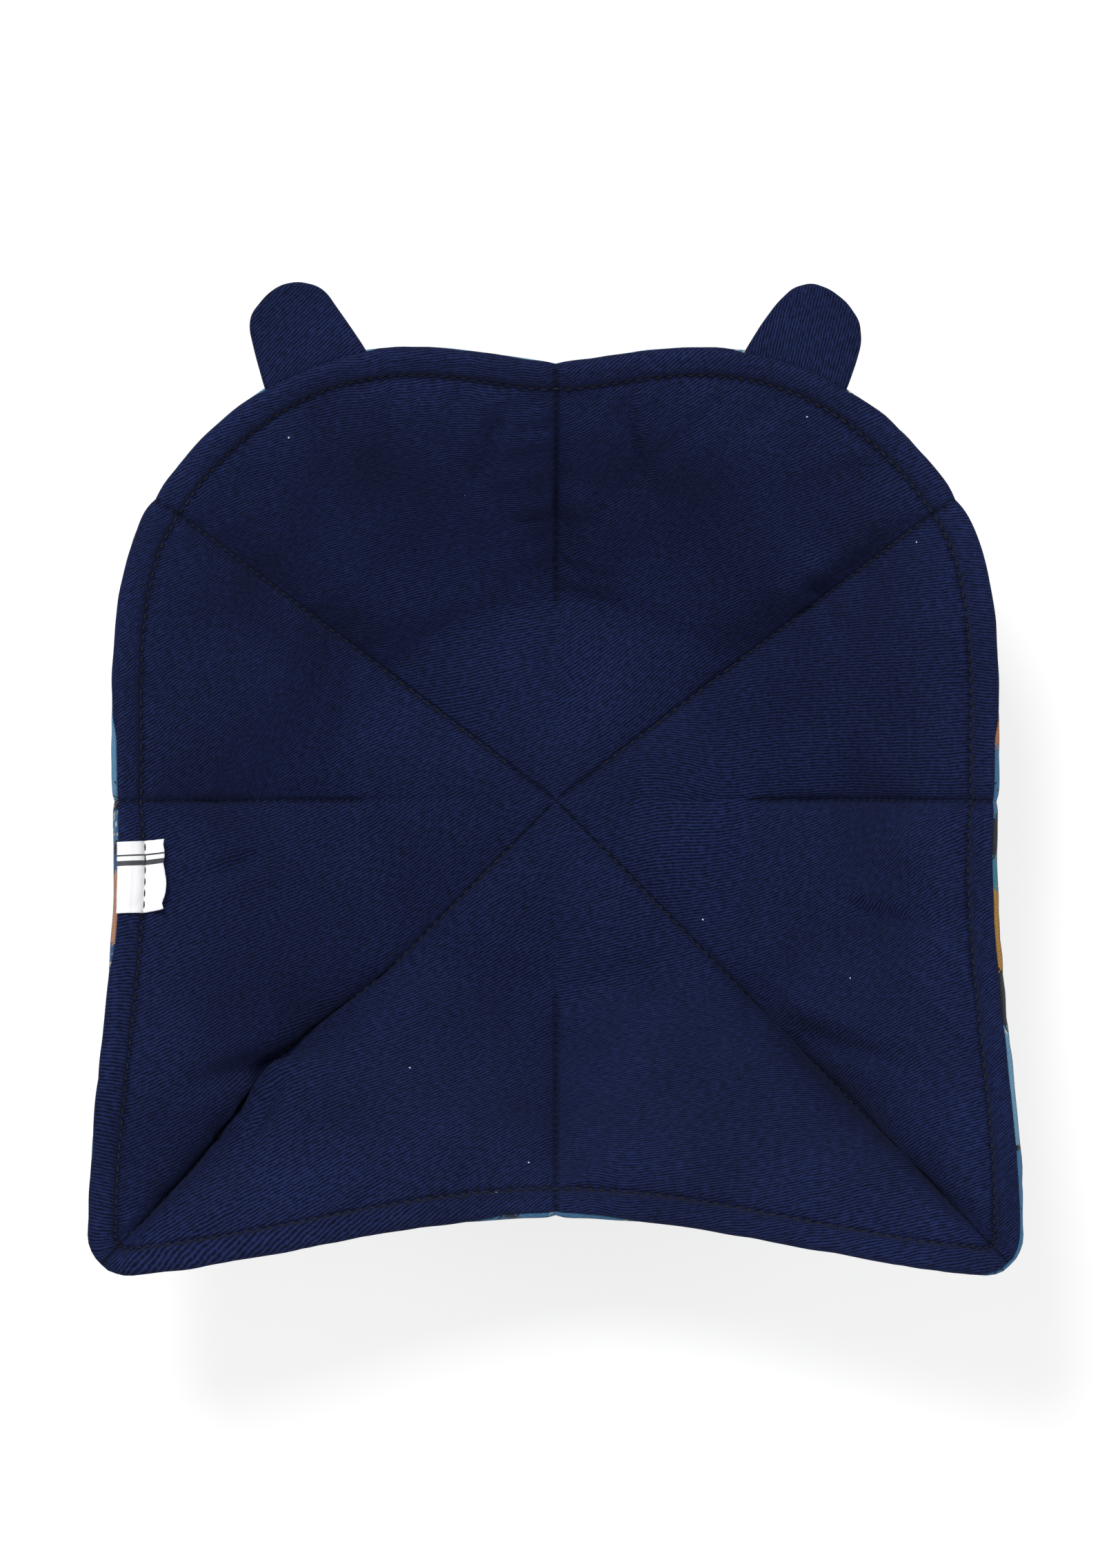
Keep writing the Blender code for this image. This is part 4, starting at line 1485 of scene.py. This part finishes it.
@dataclass
class Ear:
    """One ear: two small cloths sewn face to face, turned, pressed and caught in the rim's seam."""

    quilt: Quilt
    hand: str
    start: float
    width: float = 26.5
    height: float = 22.4
    curl: float = 3.0
    pillow: float = 0.8
    edge_r: float = 1.1
    crinkle: float = 0.3
    crinkle_size: float = 6.5
    hem: float = 2.2
    hem_t: float = 0.35
    parted: float = 0.05
    edge: tuple[tuple[float, float], ...] = ()
    corner_ease: int = 2
    cloth_t: float = 0.5
    around: int = 120
    rings: int = 26

    def outline(self) -> np.ndarray:
        """The ear's edge in its own plane, from the seam up one side, over the top and down the other.

        Returns:
            One point a row, the first again at the end.
        """
        loop = np.array([*self.edge, self.edge[0]])
        steps = np.concatenate([[0.0], np.cumsum(np.linalg.norm(np.diff(loop, axis=0), axis=1))])
        even = np.linspace(0.0, steps[-1], self.around + 1)
        edge = np.stack([np.interp(even, steps, loop[:, axis]) for axis in (0, 1)], axis=-1)[:-1]
        eased = sum(np.roll(edge, shift, axis=0) for shift in range(-self.corner_ease, self.corner_ease + 1))
        eased = eased / (2 * self.corner_ease + 1)
        return np.concatenate([eased, eased[:1]])

    def place(self, flat: np.ndarray, raised: np.ndarray) -> np.ndarray:
        """Takes points of the ear's own plane to where the ear stands.

        Args:
            flat: across and up the ear, in millimetres.
            raised: heights off its plane.

        Returns:
            Points in millimetres.
        """
        rim = self.quilt.rim
        middle_s = np.array([self.start + self.width / 2])
        ends = rim.centre(np.array([self.start, self.start + self.width]))
        along = ends[1] - ends[0]
        along /= np.linalg.norm(along)
        centre = rim.centre(middle_s)[0]
        square = self.quilt.upward(middle_s, np.array([3.0]))[0]
        out = centre - self.quilt.middle(middle_s, np.array([2.9]))[0]
        out -= square * float(out @ square)
        out /= np.linalg.norm(out)
        angle = float(rim.meeting_angle(middle_s)[0])
        lean = square * math.cos(angle) + out * math.sin(angle)
        lean -= along * float(lean @ along)
        lean /= np.linalg.norm(lean)
        up = np.cross(along, lean)
        up = up if up[2] > 0 else -up
        share = flat[..., 1] / self.height
        edge = rim.centre(self.start + self.width / 2 + flat[..., 0])
        chord = centre + along * flat[..., :1]
        curve = (edge - chord) * (1.0 - share)[..., None]
        lift = (self.curl * share**2 + raised)[..., None]
        return chord + curve + lean * flat[..., 1:2] + up * lift

    def build(self, material: bpy.types.Material) -> list[bpy.types.Object]:
        """Builds both cloths of the ear.

        Args:
            material: their finish.

        Returns:
            The front and the back cloth.
        """
        edge = self.outline()
        heart = np.array([0.0, self.height * 0.45])
        share = np.linspace(0.0, 1.0, self.rings) ** 0.8
        flat = heart + share[:, None, None] * (edge - heart)[None]
        gap = np.min(np.linalg.norm(flat[:, :, None, :] - edge[None, None, ::2, :], axis=-1), axis=2)
        gap[-1] = 0.0
        rounding = np.sqrt(1.0 - (1.0 - np.clip(gap / self.edge_r, 0.0, 1.0)) ** 2)
        dome = np.sin(np.pi / 2 * np.clip(gap / (self.width * 0.42), 0.0, 1.0))
        pieces = []
        for cloth, side in (("front", 1), ("back", -1)):
            in_plane = np.concatenate([flat, np.zeros_like(flat[..., :1])], axis=-1)
            crinkle = noise_at(in_plane, self.crinkle_size, side * 4.0 + self.start)
            fold = self.crinkle * crinkle * bell(gap - self.hem, self.hem)
            raised = side * (self.parted + rounding * (self.cloth_t + self.hem_t + fold) + dome * self.pillow)
            points = self.place(flat, raised)
            points[0] = points[0].mean(axis=0)
            points[:, -1] = points[:, 0]
            layers = {"across": flat[..., 0], "along": flat[..., 1]}
            bm = grid_mesh(points, layers)
            bmesh.ops.recalc_face_normals(bm, faces=bm.faces)
            bm.normal_update()
            total = sum((face.normal * face.calc_area() for face in bm.faces), Vector())
            if total.z * side < 0:
                bmesh.ops.reverse_faces(bm, faces=bm.faces)
            node = f"{self.hand}_ear_{cloth}"
            piece = new_piece(f"{node}_cloth", bm, material)
            lay_flat(piece.data)
            add_thickness(piece, self.cloth_t)
            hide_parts(node)
            pieces.append(piece)
        return pieces


@dataclass
class Label:
    """A white ribbon folded in half, held by the rim's seam and the row of stitches, with a loose flap."""

    quilt: Quilt
    from_dart: float = 9.4
    width: float = 16.3
    flap: float = 2.6
    lift: float = 1.3
    sag: float = 0.45
    thickness: float = 0.3
    gap: float = 0.12
    columns: int = 40

    @property
    def top(self) -> float:
        """How far the label's upper face lies above the lining."""
        return 2 * (self.gap + self.thickness)

    def run(self, s: np.ndarray, height: float, reach: float) -> list[np.ndarray]:
        """One layer of the ribbon from the rim's seam to the end of its flap.

        Args:
            s: distances along the rim.
            height: how far above the lining.
            reach: the share of the flap that this layer covers.

        Returns:
            One row of points for each station.
        """
        held = [*np.linspace(3.92, 3.0, 12), *np.linspace(3.0, 2.0, 14)[1:]]
        rows = [self.quilt.face(s, np.full_like(s, w), Side.LINING, height) for w in held]
        wall_run = np.linalg.norm(self.quilt.stitch_line(s)[..., :2], axis=-1) - self.quilt.base_r
        for share in np.linspace(0.0, reach, 12)[1:]:
            sag = self.sag * np.sin((s - s[0]) / self.width * 2.2 * np.pi) * share**2
            w = 2.0 - share * self.flap / wall_run
            row = self.quilt.face(s, w, Side.LINING, height + self.lift * share**1.5)
            rows.append(row + sag[:, None] * [0, 0, 1])
        return rows

    def build(self, material: bpy.types.Material) -> bpy.types.Object:
        """Builds the label and puts it in its node's place.

        Args:
            material: its finish.

        Returns:
            The finished piece.
        """
        last = self.quilt.rim.seams[6] - self.from_dart
        s = np.linspace(last - self.width, last, self.columns + 1)
        under = self.run(s, self.gap, 1.0)
        over = self.run(s, self.top, 1.0)
        tip = (under[-1] + over[-1]) / 2
        outward = under[-1] - under[-2]
        outward /= np.linalg.norm(outward, axis=-1, keepdims=True)
        points = np.array([*under, tip + outward * 0.3, *over[::-1]])
        steps = np.linalg.norm(np.diff(points, axis=0), axis=-1)
        along = np.concatenate([np.zeros((1, len(s))), np.cumsum(steps, axis=0)])
        across = np.broadcast_to(s - s[0], along.shape)
        bm = grid_mesh(points, {"across": across, "along": along})
        bm.normal_update()
        bm.verts.ensure_lookup_table()
        upper = max(bm.faces, key=lambda face: face.calc_center_median().z)
        if upper.normal.z < 0:
            bmesh.ops.reverse_faces(bm, faces=bm.faces)
        piece = new_piece("woven_label", bm, material)
        lay_flat(piece.data)
        add_thickness(piece, self.thickness)
        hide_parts("label")
        return piece


@dataclass
class StitchRow:
    """A row of machine stitches: short beads of thread that dip into the cloth at their ends."""

    name: str
    pitch: float
    share: float = 0.66
    radius: float = 0.34
    sides: int = 6
    rings: int = 6

    def build(self, runs: list[tuple], material: bpy.types.Material) -> bpy.types.Object:
        """Sews a row along each run of points.

        Args:
            runs: for each row its walk along the cloth, its points and the cloth's outward directions.
            material: the thread.

        Returns:
            The piece with every stitch.
        """
        bm = bmesh.new()
        for walk, run, square in runs:
            first_number = math.ceil(walk[0] / self.pitch + self.share / 2)
            last_number = math.floor(walk[-1] / self.pitch - self.share / 2)
            for number in range(first_number, last_number + 1):
                ends = (number + np.array([-0.5, 0.5]) * self.share) * self.pitch
                first, last = (np.array([np.interp(e, walk, run[:, a]) for a in range(3)]) for e in ends)
                normal = np.array([np.interp(ends.mean(), walk, square[:, a]) for a in range(3)])
                self.stitch(bm, first, last, normal)
        bmesh.ops.recalc_face_normals(bm, faces=bm.faces)
        return new_piece(self.name, bm, material)

    def stitch(self, bm: bmesh.types.BMesh, first: np.ndarray, last: np.ndarray, normal: np.ndarray) -> None:
        """Adds one stitch between two needle holes.

        Args:
            bm: the mesh that takes it.
            first: one needle hole, in millimetres.
            last: the next one.
            normal: the cloth's outward direction.
        """
        along = Vector(last - first)
        length = along.length
        along.normalize()
        up = Vector(normal)
        up = (up - along * up.dot(along)).normalized()
        across = up.cross(along)
        turn = Matrix((along, across, up)).transposed().to_4x4()
        centre = Vector((first + last) / 2) * METRE
        size = Matrix.Diagonal((length / 2 * METRE, self.radius * METRE, self.radius * METRE, 1.0))
        upright = Matrix.Rotation(math.pi / 2, 4, "Y")
        bmesh.ops.create_uvsphere(
            bm,
            u_segments=self.sides,
            v_segments=self.rings,
            radius=1.0,
            matrix=Matrix.Translation(centre) @ turn @ size @ upright,
        )


@dataclass
class Sewing:
    """Every row of stitches that shows: round the rim and along the four quilting lines, on both faces."""

    quilt: Quilt
    label: Label
    pitch: float
    proud: float = 0.12
    quilted: tuple[int, ...] = (1, 3, 5, 7)

    def build(self, material: bpy.types.Material) -> list[bpy.types.Object]:
        """Sews both faces.

        Args:
            material: the thread.

        Returns:
            One piece for each face.
        """
        rim = self.quilt.rim
        last = rim.seams[6] - self.label.from_dart + 0.4
        s = np.linspace(last - self.label.width - 0.8, last, 60)
        row = np.full_like(s, 2.0)
        over = self.quilt.face(s, row, Side.LINING, self.label.top + 0.02)
        runs = [(s, over, self.quilt.upward(s, row))]
        pieces = [StitchRow("label_stitches", self.pitch, radius=0.22).build(runs, material)]
        for side, name in ((Side.LINING, "lining_stitches"), (Side.COVER, "cover_stitches")):
            s = np.linspace(-self.pitch / 2, rim.length - self.pitch / 2, 900)
            row = np.full_like(s, 2.0)
            runs = [(s, self.quilt.face(s, row, side, self.proud), self.quilt.upward(s, row) * side)]
            for seam in self.quilted:
                w = np.linspace(0.34, 1.97, 160)
                at = np.full_like(w, rim.seams[seam])
                run = self.quilt.face(at, w, side, self.proud)
                steps = np.linalg.norm(np.diff(run, axis=0), axis=1)
                walk = self.quilt.base_r * w[0] + np.concatenate([[0.0], np.cumsum(steps)])
                runs.append((walk, run, self.quilt.upward(at, w) * side))
            pieces.append(StitchRow(name, self.pitch).build(runs, material))
        return pieces


@dataclass
class Studio:
    """A white floor, soft lamps (in metres and watts) and a camera straight above."""

    camera_height: float = 1060.0
    camera_x: float = 1.0
    camera_y: float = 4.0
    lens: float = 100.3
    floor_size: float = 6.0
    floor_grey: float = 0.32
    floor_glow: float = 0.72
    room_light: float = 0.24
    room_seen: float = 0.92
    lamps: tuple = (
        ("key", (-0.35, 0.75, 1.35), 0.4, 19.0),
        ("left side", (-1.3, 0.35, 0.65), 0.8, 5.0),
        ("right side", (1.2, -0.1, 0.95), 0.9, 8.0),
        ("front side", (0.2, -1.4, 0.45), 0.9, 5.0),
    )

    def seen(self, tree: bpy.types.NodeTree) -> bpy.types.Node:
        """Tells the rays that see a surface from those that only light it.

        Args:
            tree: the node tree of the floor or the room.

        Returns:
            A node with one for a ray from the camera, a gloss or a clear piece.
        """
        rays = add_node(tree, "LightPath")
        seen = rays.outputs["Is Camera Ray"]
        for kind in ("Is Glossy Ray", "Is Transmission Ray"):
            seen = add_node(tree, "Math", (seen, rays.outputs[kind]), operation="MAXIMUM")
        return seen

    def floor(self) -> None:
        """Lays the white floor, which keeps its shadow and is clear from below, where the base is seen."""
        bm = bmesh.new()
        bmesh.ops.create_grid(bm, x_segments=1, y_segments=1, size=self.floor_size / 2)
        mesh = bpy.data.meshes.new("floor")
        bm.to_mesh(mesh)
        bm.free()
        floor = bpy.data.objects.new("floor", mesh)
        bpy.context.scene.collection.objects.link(floor)
        material, tree, shader = new_material("studio_floor_white")
        grey = (self.floor_grey, self.floor_grey, self.floor_grey, 1.0)
        fill(tree, shader, {"Base Color": grey, "Roughness": 1.0, "Specular IOR Level": 0.0})
        glow = add_node(tree, "Math", (self.seen(tree), self.floor_glow), operation="MULTIPLY")
        fill(tree, shader, {"Emission Color": (1.0, 1.0, 1.0, 1.0), "Emission Strength": glow})
        below = add_node(tree, "NewGeometry").outputs["Backfacing"]
        fill(tree, shader, {"Alpha": add_node(tree, "Math", (1.0, below), operation="SUBTRACT")})
        mesh.materials.append(material)
        floor.visible_diffuse = False
        floor.visible_shadow = False

    def lamp(self, name: str, place: tuple[float, float, float], size: float, power: float) -> None:
        """Hangs one soft square lamp that faces the cozy.

        Args:
            name: the lamp's name.
            place: where it hangs, in metres.
            size: its side, in metres.
            power: in watts.
        """
        data = bpy.data.lights.new(name, "AREA")
        data.shape = "SQUARE"
        data.size = size
        data.energy = power
        lamp = bpy.data.objects.new(name, data)
        lamp.location = place
        lamp.rotation_euler = Vector(place).to_track_quat("Z", "Y").to_euler()
        bpy.context.scene.collection.objects.link(lamp)

    def build(self) -> None:
        """Sets up the floor, the lamps, the surrounding light and the camera."""
        scene = bpy.context.scene
        self.floor()
        for lamp in self.lamps:
            self.lamp(*lamp)
        world = bpy.data.worlds.new("soft room")
        world.use_nodes = True
        room = world.node_tree
        background = room.nodes["Background"]
        strengths = {"Value": self.seen(room), "To Min": self.room_light, "To Max": self.room_seen}
        light = add_node(room, "MapRange", strengths)
        fill(room, background, {"Color": (1.0, 1.0, 1.0, 1.0), "Strength": light})
        scene.world = world
        data = bpy.data.cameras.new("camera")
        data.sensor_fit = "VERTICAL"
        data.sensor_height = 36.0
        data.lens = self.lens
        camera = bpy.data.objects.new("camera", data)
        camera.location = (self.camera_x * METRE, self.camera_y * METRE, self.camera_height * METRE)
        scene.collection.objects.link(camera)
        scene.camera = camera
        scene.view_settings.view_transform = "Standard"


def main() -> None:
    """Builds and dresses the cozy, then its studio."""
    logging.basicConfig(level=logging.INFO, format="%(message)s")
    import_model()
    rim = Rim()
    quilt = Quilt(rim)
    pitch = rim.length / round(rim.length / STITCH_MM)
    twill = Twill(pitch_mm=pitch).material()
    ear_twill = Twill(name="cotton_twill_ear", sewn=False).material()
    jacquard = Jacquard().material()
    thread = Thread().material()
    wadding = CottonWadding().material()
    settling = Settling()
    Cloth(quilt, settling, Side.LINING, "twill_lining", "lining", LINING_T, "lining_twill").build(twill)
    Cloth(quilt, settling, Side.COVER, "jacquard_cover", "cover", COVER_T, "cover_jacquard").build(jacquard)
    Wadding(quilt, Side.LINING, "upper_wadding", "lining_wadding", LINING_T).build(wadding)
    Wadding(quilt, Side.COVER, "lower_wadding", "cover_wadding", COVER_T).build(wadding)
    steep_twill = Twill(name="cotton_twill_ear_steep", sewn=False, angle=96.0).material()
    Ear(quilt, "right", rim.ear_from_dart, edge=RIGHT_EAR).build(steep_twill)
    Ear(quilt, "left", rim.length - rim.ear_from_dart - rim.ear_w, edge=LEFT_EAR).build(ear_twill)
    label = Label(quilt)
    label.build(Ribbon().material())
    Sewing(quilt, label, pitch).build(thread)
    Studio().build()


if __name__ == "__main__":
    main()
